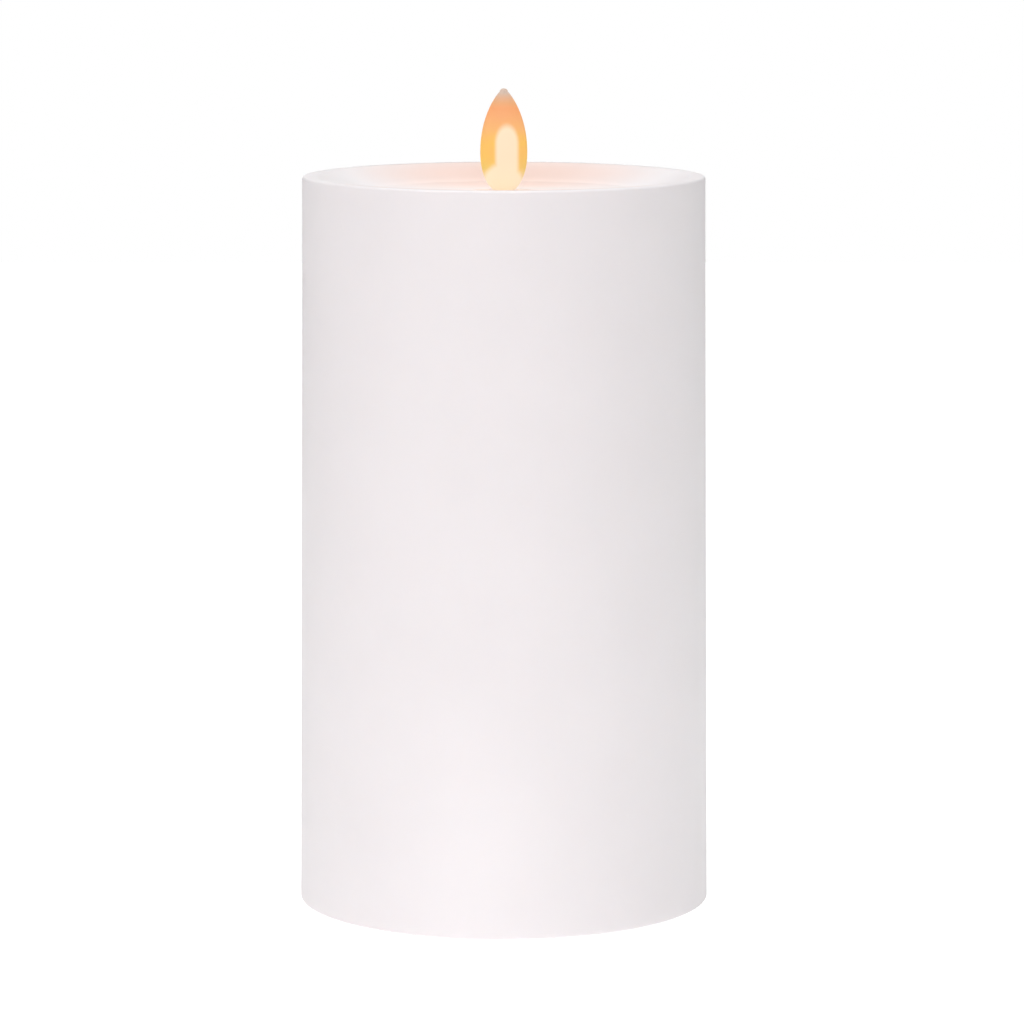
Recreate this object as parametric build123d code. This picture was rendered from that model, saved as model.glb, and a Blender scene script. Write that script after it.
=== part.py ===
"""Flameless pillar candle with a moving flame, modelled as an assembly of separate pieces.

Millimetres. +Z is up and the origin is the middle of the footprint, on the table. The front is -Y.
A white moulded shell holds a movement under its ceiling: a flame tab hangs on a cranked wire, a coil
kicks the magnet on the tab's foot, and a tilted LED throws a spot of light on the blade. The base
carries a tub for two C cells lying side by side, a hinged door, a latch and a three-position switch.
"""

import math
import os

from build123d import *

# ---- overall sizes ----
SHELL_BASE_D = 88.9  # outer diameter at the foot, 3.5 in
BODY_H = 157.5  # table to rim
FLAME_RISE = 18.7  # rim to the flame's tip
SHELL_WALL = 2.4
SHELL_DRAFT = 0.45  # degrees each side, wider at the foot

# ---- shell ----
SHELL_Z0 = 0.2  # the shell's edge stands this far off the table, on the feet
RIM_LAND = 3.2  # flat of the rim before the edges are rounded
RIM_OUTER_ROUND = 0.6
RIM_INNER_ROUND = 1.6
POOL_DEPTH = 3.5  # rim to the pool floor
POOL_R = 31.0
POOL_CREASE_ROUND = 0.5
FOOT_ROUND = 0.4
COLLAR_HOLE_R = 9.1
POST_R = 3.2
POST_INSET = 0.6  # from the post to the shell's inner wall at the foot
CEILING_BOSS_R = 2.6
CEILING_BOSS_H = 6.0
CEILING_BOSS_RING = 15.5

# ---- base plate, tub and door ----
BASE_Z0 = 1.8  # outer face of the base
BASE_T = 2.4
BASE_GAP = 0.25
SKIRT_T = 1.5
SKIRT_TOP = 9.0
LEDGE_T = 1.5  # rebate that the door closes against
LEDGE_MARGIN = 3.0
TUB_WALL = 1.5
CELL_D = 25.8
CELL_L = 49.6  # with its nub
CELL_GAP = 0.8
CELL_SIDE_GAP = 0.4
CELL_DOOR_GAP = 0.7
CONTACT_T = 0.4
CONTACT_DIMPLE = 0.8
SPRING_L = 5.4
DOOR_T = 2.1
DOOR_GAP = 0.3
DOOR_CORNER_R = 6.0
DOOR_MARGIN = 2.0  # the door laps the tub's inside by this much
HINGE_R = 1.1
HINGE_HALF = 20.0
HINGE_PIN_R = 0.7
HINGE_PIN_L = 2.4
HINGE_PIN_GAP = 0.1
HINGE_RUN_GAP = 0.4
LATCH_W = 11.2
LATCH_T = 0.8
LATCH_GAP = 0.3
LATCH_SPREAD = 3.6  # over the latch's two legs
LATCH_ROOM = 0.6  # above its arch
FINGER_TAB_L = 3.4

# ---- feet, screws and switch ----
FOOT_R = 2.8
FOOT_SINK = 0.5
FOOT_ANGLE = 65.0
SCREW_R = 1.3
SCREW_HEAD_R = 2.6
SCREW_HEAD_H = 1.7
SCREW_HOLE_GAP = 0.25
THREAD_GAP = 0.05
SCREW_SEAT_DEPTH = 2.2
SCREW_REACH = 9.0
SWITCH_L = 12.7
SWITCH_W = 6.6
SWITCH_H = 4.2
SWITCH_EAR_L = 3.4
SWITCH_PLATE_T = 0.5
SWITCH_TRAVEL = 4.0
KNOB_L = 3.4
KNOB_W = 3.2
KNOB_GAP = 0.3

# ---- movement ----
HOUSING_R = 10.2
HOUSING_WALL = 2.0
HOUSING_L = 38.6
HOUSING_FLOOR = 1.6
COLLAR_FLANGE_T = 1.3
COLLAR_FLANGE_R = 11.5
COLLAR_FIT = 0.3
COLLAR_SINK = 0.4  # the collar's top lies this far under the pool floor
COLLAR_CLAMP_GAP = 0.1
SADDLE_IN = 3.8  # inner face of each saddle wall, from the middle
SADDLE_T = 1.4
SADDLE_SLOT_W = 0.7
SADDLE_STOP = 0.3  # wall left at each slot's blind end
WIRE_R = 0.25
WIRE_DROP = 1.2  # depth of the crank in the wire
WIRE_FLAT = 1.7  # half of the crank's flat bottom
WIRE_AXIS_BELOW_RIM = 9.9
WIRE_END_GAP = 0.1
FLAME_W = 10.1
FLAME_T = 2.6
NECK_W = 2.8
NECK_T = 1.6
STEM_W = 3.4
STEM_T = 1.4
EYE_W = 1.6
EYE_DROP = 1.3  # opening under the crossbar
EYE_GAP = 0.08
MAGNET_R = 2.5
MAGNET_H = 2.8
MAGNET_DROP = 17.6  # wire crank to the magnet's middle
CUP_WALL = 0.6
LED_R = 2.5
LED_L = 8.6
LED_RIM_R = 2.9
LED_RIM_T = 1.0
LED_TILT = 31.7  # degrees from upright, aimed at the blade
LED_TIP_Y = -6.6
LED_TIP_BELOW_RIM = 6.9
LED_POCKET_GAP = 0.1
LED_TUBE_WALL = 1.2
COIL_GAP = 0.2  # round the bobbin in the case
COIL_H = 9.0
COIL_FLANGE_T = 0.8
COIL_CORE_R = 2.4
COIL_BORE_R = 1.5
LUG_R = 2.6
LUG_HALF_L = 4.0
SMALL_SCREW_R = 0.9
SMALL_HEAD_R = 1.8
SMALL_HEAD_H = 1.3

# ---- driver board ----
BOARD_W = 22.0
BOARD_H = 39.0
BOARD_T = 1.2
BOARD_STANDOFF = 3.0
LEAD_D = 1.2
FINE_LEAD_D = 0.6
COIL_LEAD_D = 0.4

# ---- worked out from the sizes above ----
TAN_DRAFT = math.tan(math.radians(SHELL_DRAFT))
SHELL_BASE_R = SHELL_BASE_D / 2
RIM_R = SHELL_BASE_R - (BODY_H - SHELL_Z0) * TAN_DRAFT
POOL_Z = BODY_H - POOL_DEPTH
CEILING_Z = POOL_Z - SHELL_WALL
FLAME_TIP_Z = BODY_H + FLAME_RISE
BASE_TOP = BASE_Z0 + BASE_T
LEDGE_TOP = BASE_TOP + LEDGE_T


def shell_inner_r(z):
    """Inner radius of the shell's wall at a height."""
    return SHELL_BASE_R - SHELL_WALL - (z - SHELL_Z0) * TAN_DRAFT


BASE_R = shell_inner_r(SKIRT_TOP) - BASE_GAP
TUB_IN_X = CELL_D + CELL_GAP / 2 + CELL_SIDE_GAP
TUB_IN_Y = (CELL_L + SPRING_L + 2 * CONTACT_T + CONTACT_DIMPLE) / 2
TUB_OUT_X = TUB_IN_X + TUB_WALL
TUB_OUT_Y = TUB_IN_Y + TUB_WALL
CELL_R = CELL_D / 2
CELL_X = CELL_R + CELL_GAP / 2
CELL_Z = BASE_Z0 + DOOR_T + CELL_DOOR_GAP + CELL_R
TUB_CEILING = CELL_Z + CELL_R + CELL_SIDE_GAP
TUB_TOP = TUB_CEILING + TUB_WALL
POST_X = TUB_OUT_X + POST_R + 1.4
POST_Y = math.sqrt((shell_inner_r(SHELL_Z0) - POST_R - POST_INSET) ** 2 - POST_X**2)
POST_Z0 = LEDGE_TOP
DOOR_HALF_X = TUB_IN_X + DOOR_MARGIN
HINGE_Y = -(TUB_IN_Y + 1.1)
HINGE_Z = BASE_Z0 + HINGE_R
DOOR_START_Y = HINGE_Y + math.hypot(HINGE_R + DOOR_GAP, HINGE_R) + 0.12  # clears the edge it swings past
DOOR_END_Y = TUB_IN_Y + DOOR_MARGIN - 0.4
LATCH_FACE_Y = TUB_IN_Y + 1.2  # outer face of the latch's outer leg
LATCH_ARCH_Z = LEDGE_TOP + 1.9
LATCH_ROOM_Z = LATCH_ARCH_Z + LATCH_SPREAD / 2 + LATCH_ROOM
SWITCH_X = TUB_OUT_X + LEDGE_MARGIN + 0.4 + SWITCH_W / 2
FEET_RING = BASE_R - FOOT_R - 0.4

WIRE_AXIS_Z = BODY_H - WIRE_AXIS_BELOW_RIM
HANG_Z = WIRE_AXIS_Z - WIRE_DROP
NOD_Z = HANG_Z + WIRE_R + EYE_GAP + STEM_T / 2  # axis of the round crossbar that rests on the wire
MAGNET_Z = HANG_Z - MAGNET_DROP
BLADE_WIDE_Z = FLAME_TIP_Z - 13.9 / 22.6 * (FLAME_TIP_Z - POOL_Z)
COLLAR_TOP = POOL_Z - COLLAR_SINK
NECK_Z = COLLAR_TOP + 0.3
COLLAR_FLANGE_TOP = CEILING_Z - COLLAR_CLAMP_GAP
HOUSING_TOP = COLLAR_FLANGE_TOP - COLLAR_FLANGE_T
HOUSING_Z0 = HOUSING_TOP - HOUSING_L
CAVITY_R = HOUSING_R - HOUSING_WALL
COIL_R = CAVITY_R - COIL_GAP
EAR_TOP = CEILING_Z - CEILING_BOSS_H
EAR_T = 2.0
SADDLE_TOP = WIRE_AXIS_Z + 0.6
COIL_Z0 = HOUSING_Z0 + HOUSING_FLOOR
LED_TIP = Vector(0, LED_TIP_Y, BODY_H - LED_TIP_BELOW_RIM)
SLOT_REACH = SADDLE_IN + SADDLE_T - SADDLE_STOP
LED_AIM = Vector(0, math.sin(math.radians(LED_TILT)), math.cos(math.radians(LED_TILT)))
BOARD_Y0 = HOUSING_R + BOARD_STANDOFF
BOARD_Z1 = EAR_TOP - EAR_T - 4.6
BOARD_Z0 = BOARD_Z1 - BOARD_H
BOARD_SCREW_ZS = (BOARD_Z1 - 4.0, HOUSING_Z0 + 4.5)


# ---- helpers ----
def block(x0, x1, y0, y1, z0, z1):
    """A box between two corners."""
    middle = ((x0 + x1) / 2, (y0 + y1) / 2, (z0 + z1) / 2)
    return Pos(*middle) * Box(x1 - x0, y1 - y0, z1 - z0)


def rod(r, z0, z1, x=0.0, y=0.0):
    """An upright cylinder."""
    return Pos(x, y, (z0 + z1) / 2) * Cylinder(r, z1 - z0)


def ring(r_out, r_in, z0, z1, x=0.0, y=0.0):
    """An upright tube."""
    return rod(r_out, z0, z1, x, y) - rod(r_in, z0 - 1, z1 + 1, x, y)


def rod_y(r, y0, y1, x, z):
    """A cylinder along Y."""
    return Pos(x, (y0 + y1) / 2, z) * Rot(90, 0, 0) * Cylinder(r, y1 - y0)


def rod_x(r, x0, x1, y, z):
    """A cylinder along X."""
    return Pos((x0 + x1) / 2, y, z) * Rot(0, 90, 0) * Cylinder(r, x1 - x0)


def turned(corners):
    """A solid of revolution about Z from (radius, height, rounding) corners."""
    points = [(r, z) for r, z, _ in corners]
    rounds = [rounding for _, _, rounding in corners]
    outline = FilletPolyline(*points, radius=rounds, close=True)
    return revolve(Plane.XZ * make_face(outline), Axis.Z)


def rounded_slab(half_x, y0, y1, z0, z1, corner_r):
    """A flat slab with rounded corners in plan."""
    plan = Pos(0, (y0 + y1) / 2) * RectangleRounded(2 * half_x, y1 - y0, corner_r)
    return Pos(0, 0, z0) * extrude(plan, z1 - z0)


def four_ways(x, y):
    """The four mirror images of a point in plan."""
    return [(sx * x, sy * y) for sx in (-1, 1) for sy in (-1, 1)]


def arc_radii(points):
    """The largest rounding that each corner of a lead's route leaves room for."""
    radii = []
    for before, here, after in zip(points, points[1:], points[2:]):
        a = Vector(*here) - Vector(*before)
        b = Vector(*after) - Vector(*here)
        turn = math.radians(a.get_angle(b))
        radii.append(0.45 * min(a.length, b.length) / math.tan(turn / 2))
    return radii


def lead(points, diameter):
    """An insulated lead along straight runs joined by tangent arcs."""
    radii = arc_radii(points)
    print("lead arcs", [round(r, 1) for r in radii])
    route = FilletPolyline(*points, radius=radii)
    start = Plane(origin=points[0], z_dir=Vector(*points[1]) - Vector(*points[0]))
    return sweep(start * Circle(diameter / 2), path=route)


def cross_recess(r, depth):
    """The cross-shaped recess of a screw head, cut downwards from z = 0."""
    arm = Box(2 * r, 0.36 * r, depth) + Box(0.36 * r, 2 * r, depth)
    return Pos(0, 0, -depth / 2) * arm


def pan_screw(head_r, head_h, shank_r, shank_l):
    """A pan-head screw along Z, its head on top and the head's underside at z = 0."""
    edge = min(head_h, head_r) * 0.45
    head = turned([(0, 0, 0), (head_r, 0, 0), (head_r, head_h, edge), (0, head_h, 0)])
    point = shank_r * 0.8
    shank = turned(
        [(0, -shank_l, 0), (shank_r - point, -shank_l, 0), (shank_r, -shank_l + point, 0)]
        + [(shank_r, 0.01, 0), (0, 0.01, 0)]
    )
    return head + shank - Pos(0, 0, head_h) * cross_recess(head_r * 0.6, head_h * 0.6)


def screw_up(shape, x, y, z):
    """Places a screw that is driven upwards, with its seat at z."""
    return Pos(x, y, z) * Rot(180, 0, 0) * shape


def save(name, *solids):
    """Writes one node, as one solid or as a group of separate solids."""
    shapes = []
    for item in solids:
        shapes.extend(item.solids())
    whole = shapes[0] if len(shapes) == 1 else Compound(children=shapes)
    export_step(whole, f"parts/{name}.step")


# ---- shell ----
def bowl_slope():
    """Rise over run of the bowl's side."""
    return POOL_DEPTH / (RIM_R - RIM_LAND - POOL_R)


def bowl_underside_r():
    """Radius where the bowl's underside leaves the ceiling, one wall below its side."""
    angle = math.atan(bowl_slope())
    return POOL_R + SHELL_WALL * math.tan(angle / 2)


def shell_envelope():
    """The shell's outer form as a full solid, bowl included."""
    return turned(
        [
            (0, SHELL_Z0, 0),
            (SHELL_BASE_R, SHELL_Z0, FOOT_ROUND),
            (RIM_R, BODY_H, RIM_OUTER_ROUND),
            (RIM_R - RIM_LAND, BODY_H, RIM_INNER_ROUND),
            (POOL_R, POOL_Z, POOL_CREASE_ROUND),
            (0, POOL_Z, 0),
        ]
    )


def shell_cavity():
    """The space inside the wall, open at the foot."""
    slope = bowl_slope()
    start_r = bowl_underside_r()
    reach_r = shell_inner_r(BODY_H)
    top_z = CEILING_Z + (reach_r - start_r) * slope
    return turned(
        [
            (0, SHELL_Z0 - 1, 0),
            (shell_inner_r(SHELL_Z0 - 1), SHELL_Z0 - 1, 0),
            (shell_inner_r(top_z), top_z, 0),
            (start_r, CEILING_Z, 0),
            (0, CEILING_Z, 0),
        ]
    )


def ceiling_spots():
    """Plan positions of the four bosses that carry the movement."""
    reach = CEILING_BOSS_RING * math.sqrt(0.5)
    return four_ways(reach, reach)


def outer_shell():
    """Moulded body: wall, rim, bowl and pool floor, with posts and ceiling bosses inside."""
    envelope = shell_envelope()
    body = envelope - shell_cavity()
    for x, y in four_ways(POST_X, POST_Y):
        body += rod(POST_R, POST_Z0, BODY_H, x, y) & envelope
    for x, y in ceiling_spots():
        body += rod(CEILING_BOSS_R, EAR_TOP, CEILING_Z + 0.5, x, y)
        body -= rod(SMALL_SCREW_R + THREAD_GAP, EAR_TOP - 1, EAR_TOP + 5.0, x, y)
    for x, y in four_ways(POST_X, POST_Y):
        body -= rod(SCREW_R + THREAD_GAP, POST_Z0 - 1, POST_Z0 + SCREW_REACH, x, y)
    return body - rod(COLLAR_HOLE_R, CEILING_Z - 1, POOL_Z + 1)


# ---- base ----
def door_opening():
    """The hole in the base's face that the door fills, with room for the hinge and the latch."""
    half_x = DOOR_HALF_X + DOOR_GAP
    main_y0 = HINGE_Y + HINGE_R + DOOR_GAP
    z0 = BASE_Z0 - 1
    plan = rounded_slab(half_x, main_y0, DOOR_END_Y + DOOR_GAP, z0, BASE_TOP, DOOR_CORNER_R + DOOR_GAP)
    square_end = block(-half_x, half_x, main_y0, main_y0 + 2 * DOOR_CORNER_R, z0, BASE_TOP)
    hinge_y0 = HINGE_Y - HINGE_R - HINGE_RUN_GAP
    barrel = block(-HINGE_HALF - DOOR_GAP, HINGE_HALF + DOOR_GAP, hinge_y0, main_y0 + 1, z0, BASE_TOP)
    latch_half = LATCH_W / 2 + LATCH_GAP
    latch_y1 = LATCH_FACE_Y + FINGER_TAB_L + DOOR_GAP
    latch = block(-latch_half, latch_half, DOOR_END_Y - 1, latch_y1, z0, BASE_TOP)
    return plan + (square_end & rod(BASE_R - 1.2, z0, BASE_TOP)) + barrel + latch


def finger_dish():
    """Shallow dish beside the latch tab, for a fingertip."""
    return Pos(0, LATCH_FACE_Y + FINGER_TAB_L, BASE_Z0 - 6.2) * Sphere(7.6)


def switch_slot():
    """Sunk panel and slot for the switch knob."""
    panel = Pos(SWITCH_X, 0, BASE_Z0 - 1) * extrude(RectangleRounded(6.4, 14.0, 2.0), 1.9)
    half = KNOB_L / 2 + SWITCH_TRAVEL / 2 + KNOB_GAP
    half_x = KNOB_W / 2 + KNOB_GAP
    return panel + block(SWITCH_X - half_x, SWITCH_X + half_x, -half, half, BASE_Z0, BASE_TOP + 1)


def switch_marks():
    """Raised bar, ring and dial marks beside the three switch positions."""
    x = SWITCH_X + 4.6
    step = SWITCH_TRAVEL / 2
    z0, z1 = BASE_Z0 - 0.25, BASE_Z0 + 0.2
    bar = block(x - 0.9, x + 0.9, -step - 0.95, -step - 0.55, z0, z1)
    circle = ring(0.9, 0.55, z0, z1, x, 0.35)
    dial = ring(0.9, 0.55, z0, z1, x, step + 1.0)
    hand = block(x - 0.15, x + 0.15, step + 0.6, step + 1.2, z0, z1)
    return bar + circle + dial + hand


def contact_slots():
    """Slits in the tub's ceiling where the end contacts' tabs come through."""
    x_half = 1.8
    slits = Part()
    for x in (-CELL_X, CELL_X):
        y1 = TUB_IN_Y
        slits += block(x - x_half, x + x_half, y1 - CONTACT_T - 0.2, y1 + 0.2, TUB_CEILING - 1, TUB_TOP + 1)
    return slits


def base_plate():
    """Base with its skirt, the door's rebate and the tub for the cells."""
    disc = rod(BASE_R, BASE_Z0, BASE_TOP)
    body = disc + ring(BASE_R, BASE_R - SKIRT_T, BASE_TOP, SKIRT_TOP)
    for x, y in four_ways(POST_X, POST_Y):
        body -= rod(POST_R + 0.3, BASE_TOP, SKIRT_TOP + 1, x, y)
    ledge_x = TUB_OUT_X + LEDGE_MARGIN
    ledge_y = TUB_OUT_Y + LEDGE_MARGIN
    ledge = rounded_slab(ledge_x, -ledge_y, ledge_y, BASE_TOP, LEDGE_TOP, DOOR_CORNER_R)
    body += ledge & rod(BASE_R - 0.5, BASE_TOP, LEDGE_TOP)
    body += rounded_slab(TUB_OUT_X, -TUB_OUT_Y, TUB_OUT_Y, BASE_TOP, TUB_TOP, 4.0)
    for x, y in four_ways(POST_X, POST_Y):
        body += rod(POST_R + 1.0, BASE_TOP, POST_Z0, x, y) & rod(BASE_R - 0.1, BASE_TOP, POST_Z0)
    body -= rounded_slab(TUB_IN_X, -TUB_IN_Y, TUB_IN_Y, BASE_Z0, TUB_CEILING, 2.5)
    rib_y0 = -TUB_IN_Y + CONTACT_T + 0.3
    body += block(-0.6, 0.6, rib_y0, TUB_IN_Y, CELL_Z + 0.53 * CELL_R, TUB_CEILING + 0.5)
    body -= door_opening()
    body -= latch_window()
    body -= contact_slots()
    for side in (-1, 1):
        x0 = side * HINGE_HALF
        x1 = side * (HINGE_HALF + HINGE_PIN_L + 0.4)
        body -= rod_x(HINGE_PIN_R + HINGE_PIN_GAP, min(x0, x1), max(x0, x1), HINGE_Y, HINGE_Z)
    for x, y in four_ways(POST_X, POST_Y):
        body -= rod(SCREW_R + SCREW_HOLE_GAP, BASE_Z0 - 1, POST_Z0 + 1, x, y)
        body -= rod(SCREW_HEAD_R + 0.3, BASE_Z0 - 1, BASE_Z0 + SCREW_SEAT_DEPTH, x, y)
    for x, y in foot_spots():
        body -= rod(FOOT_R + 0.1, BASE_Z0 - 1, BASE_Z0 + FOOT_SINK, x, y)
    body -= switch_slot()
    body -= finger_dish() & rod(BASE_R - 1.5, BASE_Z0 - 1, BASE_TOP)
    for side in (-1, 1):
        y = side * (SWITCH_L / 2 + SWITCH_EAR_L / 2)
        body += rod(1.7, BASE_TOP - 0.1, BASE_TOP, SWITCH_X, y)
        body -= rod(SMALL_SCREW_R + THREAD_GAP, BASE_TOP - 1.5, BASE_TOP + 1, SWITCH_X, y)
    return body + switch_marks()


def latch_window():
    """Gap in the tub's end wall and ledge for the latch's legs and nose."""
    half = LATCH_W / 2 + LATCH_GAP
    z1 = LATCH_ROOM_Z
    legs = block(-half, half, TUB_IN_Y - 0.5, LATCH_FACE_Y + LATCH_GAP, BASE_Z0, z1)
    return legs + block(-half, half, TUB_IN_Y - 0.5, TUB_OUT_Y + 2, LEDGE_TOP, z1)


def foot_spots():
    """Plan positions of the four rubber feet."""
    angle = math.radians(FOOT_ANGLE)
    return four_ways(FEET_RING * math.cos(angle), FEET_RING * math.sin(angle))


def base_feet():
    """Rubber feet glued in round seats."""
    top = BASE_Z0 + FOOT_SINK
    foot = turned([(0, 0, 0), (FOOT_R, 0, 0.4), (FOOT_R, top, 0), (0, top, 0)])
    return [Pos(x, y, 0) * foot for x, y in foot_spots()]


def base_screws():
    """Screws through the base into the shell's posts."""
    seat = BASE_Z0 + SCREW_SEAT_DEPTH
    screw = pan_screw(SCREW_HEAD_R, SCREW_HEAD_H, SCREW_R, POST_Z0 - seat + SCREW_REACH - 1)
    return [screw_up(screw, x, y, seat) for x, y in four_ways(POST_X, POST_Y)]


def battery_door():
    """Door with a hinge barrel and two stub pins, notched for the latch."""
    z0, z1 = BASE_Z0, BASE_Z0 + DOOR_T
    y0 = DOOR_START_Y
    body = rounded_slab(DOOR_HALF_X, y0, DOOR_END_Y, z0, z1, DOOR_CORNER_R)
    square_end = block(-DOOR_HALF_X, DOOR_HALF_X, y0, y0 + 2 * DOOR_CORNER_R, z0, z1)
    body += square_end & rod(BASE_R - 1.5 - DOOR_GAP, z0, z1)
    body += rod_x(HINGE_R, -HINGE_HALF, HINGE_HALF, HINGE_Y, HINGE_Z)
    body += block(-HINGE_HALF, HINGE_HALF, HINGE_Y, y0 + 1, z0, z1)
    body += rod_x(HINGE_PIN_R, -HINGE_HALF - HINGE_PIN_L, HINGE_HALF + HINGE_PIN_L, HINGE_Y, HINGE_Z)
    notch = LATCH_W / 2 + LATCH_GAP
    body -= block(-notch, notch, LATCH_FACE_Y - LATCH_T - LATCH_GAP, DOOR_END_Y + 1, z0 - 1, z1 + 1)
    for i in range(3):
        y = TUB_IN_Y - 6.0 - 2.2 * i
        body -= Pos(0, y, z0) * Rot(0, 90, 0) * Cylinder(0.5, 16.0 - 3.0 * i)
    rib_z = z1 + 1.2
    for x in (-TUB_IN_X + 4.0, 0.0, TUB_IN_X - 4.0):
        rib_half = 0.6
        room = CELL_R - math.sqrt(max(CELL_R**2 - (abs(abs(x) - CELL_X) + rib_half) ** 2, 0.0))
        if room + CELL_DOOR_GAP > 1.6:
            body += block(x - rib_half, x + rib_half, y0 + 6.0, TUB_IN_Y - 8.0, z1, rib_z)
    return body


def door_latch():
    """The door's springy tab: two legs, an arch, a nose over the ledge and a finger tab."""
    z_root = BASE_Z0 + DOOR_T
    outer_y1 = LATCH_FACE_Y
    inner_y0 = outer_y1 - LATCH_SPREAD
    arch_z = LATCH_ARCH_Z
    r_out = (outer_y1 - inner_y0) / 2
    mid_y = (outer_y1 + inner_y0) / 2
    half = LATCH_W / 2
    loop = rod_x(r_out, -half, half, mid_y, arch_z)
    loop -= rod_x(r_out - LATCH_T, -half - 1, half + 1, mid_y, arch_z)
    body = loop & block(-half, half, inner_y0, outer_y1, arch_z, arch_z + r_out)
    body += block(-half, half, inner_y0, inner_y0 + LATCH_T, z_root, arch_z)
    body += block(-half, half, outer_y1 - LATCH_T, outer_y1, BASE_Z0, arch_z)
    body += block(-half, half, outer_y1 - LATCH_T, outer_y1 + FINGER_TAB_L, BASE_Z0, BASE_Z0 + 1.1)
    nose_z = LEDGE_TOP + 0.1
    nose = make_face(
        Polyline((outer_y1, nose_z), (outer_y1 + 0.9, nose_z), (outer_y1, nose_z + 1.5), close=True)
    )
    return body + extrude(Plane.YZ * nose, half, both=True)


# ---- cells and contacts ----
def cell_can():
    """A C cell's steel can and nub along +Z, its flat end at z = 0."""
    nub_h = 1.8
    can_l = CELL_L - nub_h
    r = CELL_R - 0.3
    return turned(
        [
            (0, 0.3, 0),
            (r * 0.72, 0.3, 0),
            (r * 0.72, 0, 0),
            (r * 0.84, 0, 0),
            (r, 0.6, 0.3),
            (r, can_l, 0.5),
            (r * 0.42, can_l, 0.3),
            (r * 0.26, CELL_L, 0.5),
            (0, CELL_L, 0),
        ]
    )


def cell_sleeve():
    """The printed sleeve that is shrunk round the can."""
    can_l = CELL_L - 1.8
    return ring(CELL_R, CELL_R - 0.28, 0.9, can_l - 0.9)


def lay_cell(shape, side):
    """Lays a cell in the tub: the left one has its nub at +Y, the right one at -Y."""
    nub_y = TUB_IN_Y - CONTACT_T - CONTACT_DIMPLE
    y0 = nub_y - CELL_L if side < 0 else CELL_L - nub_y
    turn = Rot(-90, 0, 0) if side < 0 else Rot(90, 0, 0)
    return Pos(side * CELL_X, y0, CELL_Z) * turn * shape


def conical_spring():
    """A three-turn conical spring along +Z, its wide end at z = 0."""
    wire_r = 0.4
    height = SPRING_L - 2 * wire_r - 0.04
    turns = 3.5
    path = Helix(height / turns, height, 5.4, cone_angle=-math.degrees(math.atan(2.2 / height)))
    start = Plane(origin=path @ 0, z_dir=path % 0)
    coil = sweep(start * Circle(wire_r), path=path, is_frenet=True)
    return Pos(0, 0, wire_r + 0.02) * coil


def contact_plate(x, y_sign, half_x):
    """A plate in the tub's end wall, from beside the cell's nub to its rim."""
    y1 = TUB_IN_Y
    plate = block(x - half_x, x + half_x, y1 - CONTACT_T, y1, LATCH_ROOM_Z, CELL_Z + 7.5)
    return plate if y_sign > 0 else plate.mirror(Plane.XZ)


def contact_tab(x):
    """The solder tab that rises through the tub's ceiling."""
    y1 = TUB_IN_Y
    return block(x - 1.5, x + 1.5, y1 - CONTACT_T, y1, CELL_Z + 7.0, TUB_TOP + 3.0)


def positive_contact():
    """Plate with a pressed dimple that meets the left cell's nub."""
    plate = contact_plate(-CELL_X, 1, 6.0) + contact_tab(-CELL_X)
    face_y = TUB_IN_Y - CONTACT_T
    dimple = Pos(-CELL_X, face_y, CELL_Z) * Rot(90, 0, 0) * Cone(3.4, 2.4, 2 * CONTACT_DIMPLE)
    return plate + (dimple & block(-CELL_X - 4, -CELL_X + 4, face_y - 3, TUB_IN_Y, CELL_Z - 4, CELL_Z + 4))


def negative_contact():
    """Plate that carries the spring for the right cell's flat end."""
    return contact_plate(CELL_X, 1, 6.0) + contact_tab(CELL_X)


def bridge_contact():
    """Plate across both cells at the hinge end, dimpled for the right cell's nub."""
    plate = contact_plate(0, -1, CELL_X + 6.0)
    face_y = -TUB_IN_Y + CONTACT_T
    dimple = Pos(CELL_X, face_y, CELL_Z) * Rot(-90, 0, 0) * Cone(3.4, 2.4, 2 * CONTACT_DIMPLE)
    return plate + (dimple & block(CELL_X - 4, CELL_X + 4, -TUB_IN_Y, face_y + 3, CELL_Z - 4, CELL_Z + 4))


def contact_springs():
    """The two conical springs, riveted to the negative plate and to the bridge."""
    face = TUB_IN_Y - CONTACT_T
    right = Pos(CELL_X, face, CELL_Z) * Rot(90, 0, 0) * conical_spring()
    left = Pos(-CELL_X, -face, CELL_Z) * Rot(-90, 0, 0) * conical_spring()
    return [left, right]


# ---- switch ----
def switch_frame():
    """Steel can and eared plate of the slide switch."""
    z0 = BASE_TOP
    half_l, half_w = SWITCH_L / 2, SWITCH_W / 2
    ear = half_l + SWITCH_EAR_L
    body = block(SWITCH_X - half_w, SWITCH_X + half_w, -ear, ear, z0, z0 + SWITCH_PLATE_T)
    body += block(SWITCH_X - half_w, SWITCH_X + half_w, -half_l, half_l, z0, z0 + SWITCH_H)
    in_w, in_l = half_w - 0.4, half_l - 0.4
    body -= block(SWITCH_X - in_w, SWITCH_X + in_w, -in_l, in_l, z0 + SWITCH_PLATE_T, z0 + 9)
    slot_half = KNOB_L / 2 + SWITCH_TRAVEL / 2 + KNOB_GAP
    body -= block(
        SWITCH_X - KNOB_W / 2 - 0.2, SWITCH_X + KNOB_W / 2 + 0.2, -slot_half, slot_half, z0 - 1, z0 + 1
    )
    for side in (-1, 1):
        body -= rod(SMALL_SCREW_R + 0.15, z0 - 1, z0 + 2, SWITCH_X, side * (half_l + SWITCH_EAR_L / 2))
    return body


def switch_pin_ys():
    """Places of the switch's four pins along Y."""
    return [(i - 1.5) * 2.6 for i in range(4)]


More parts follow.
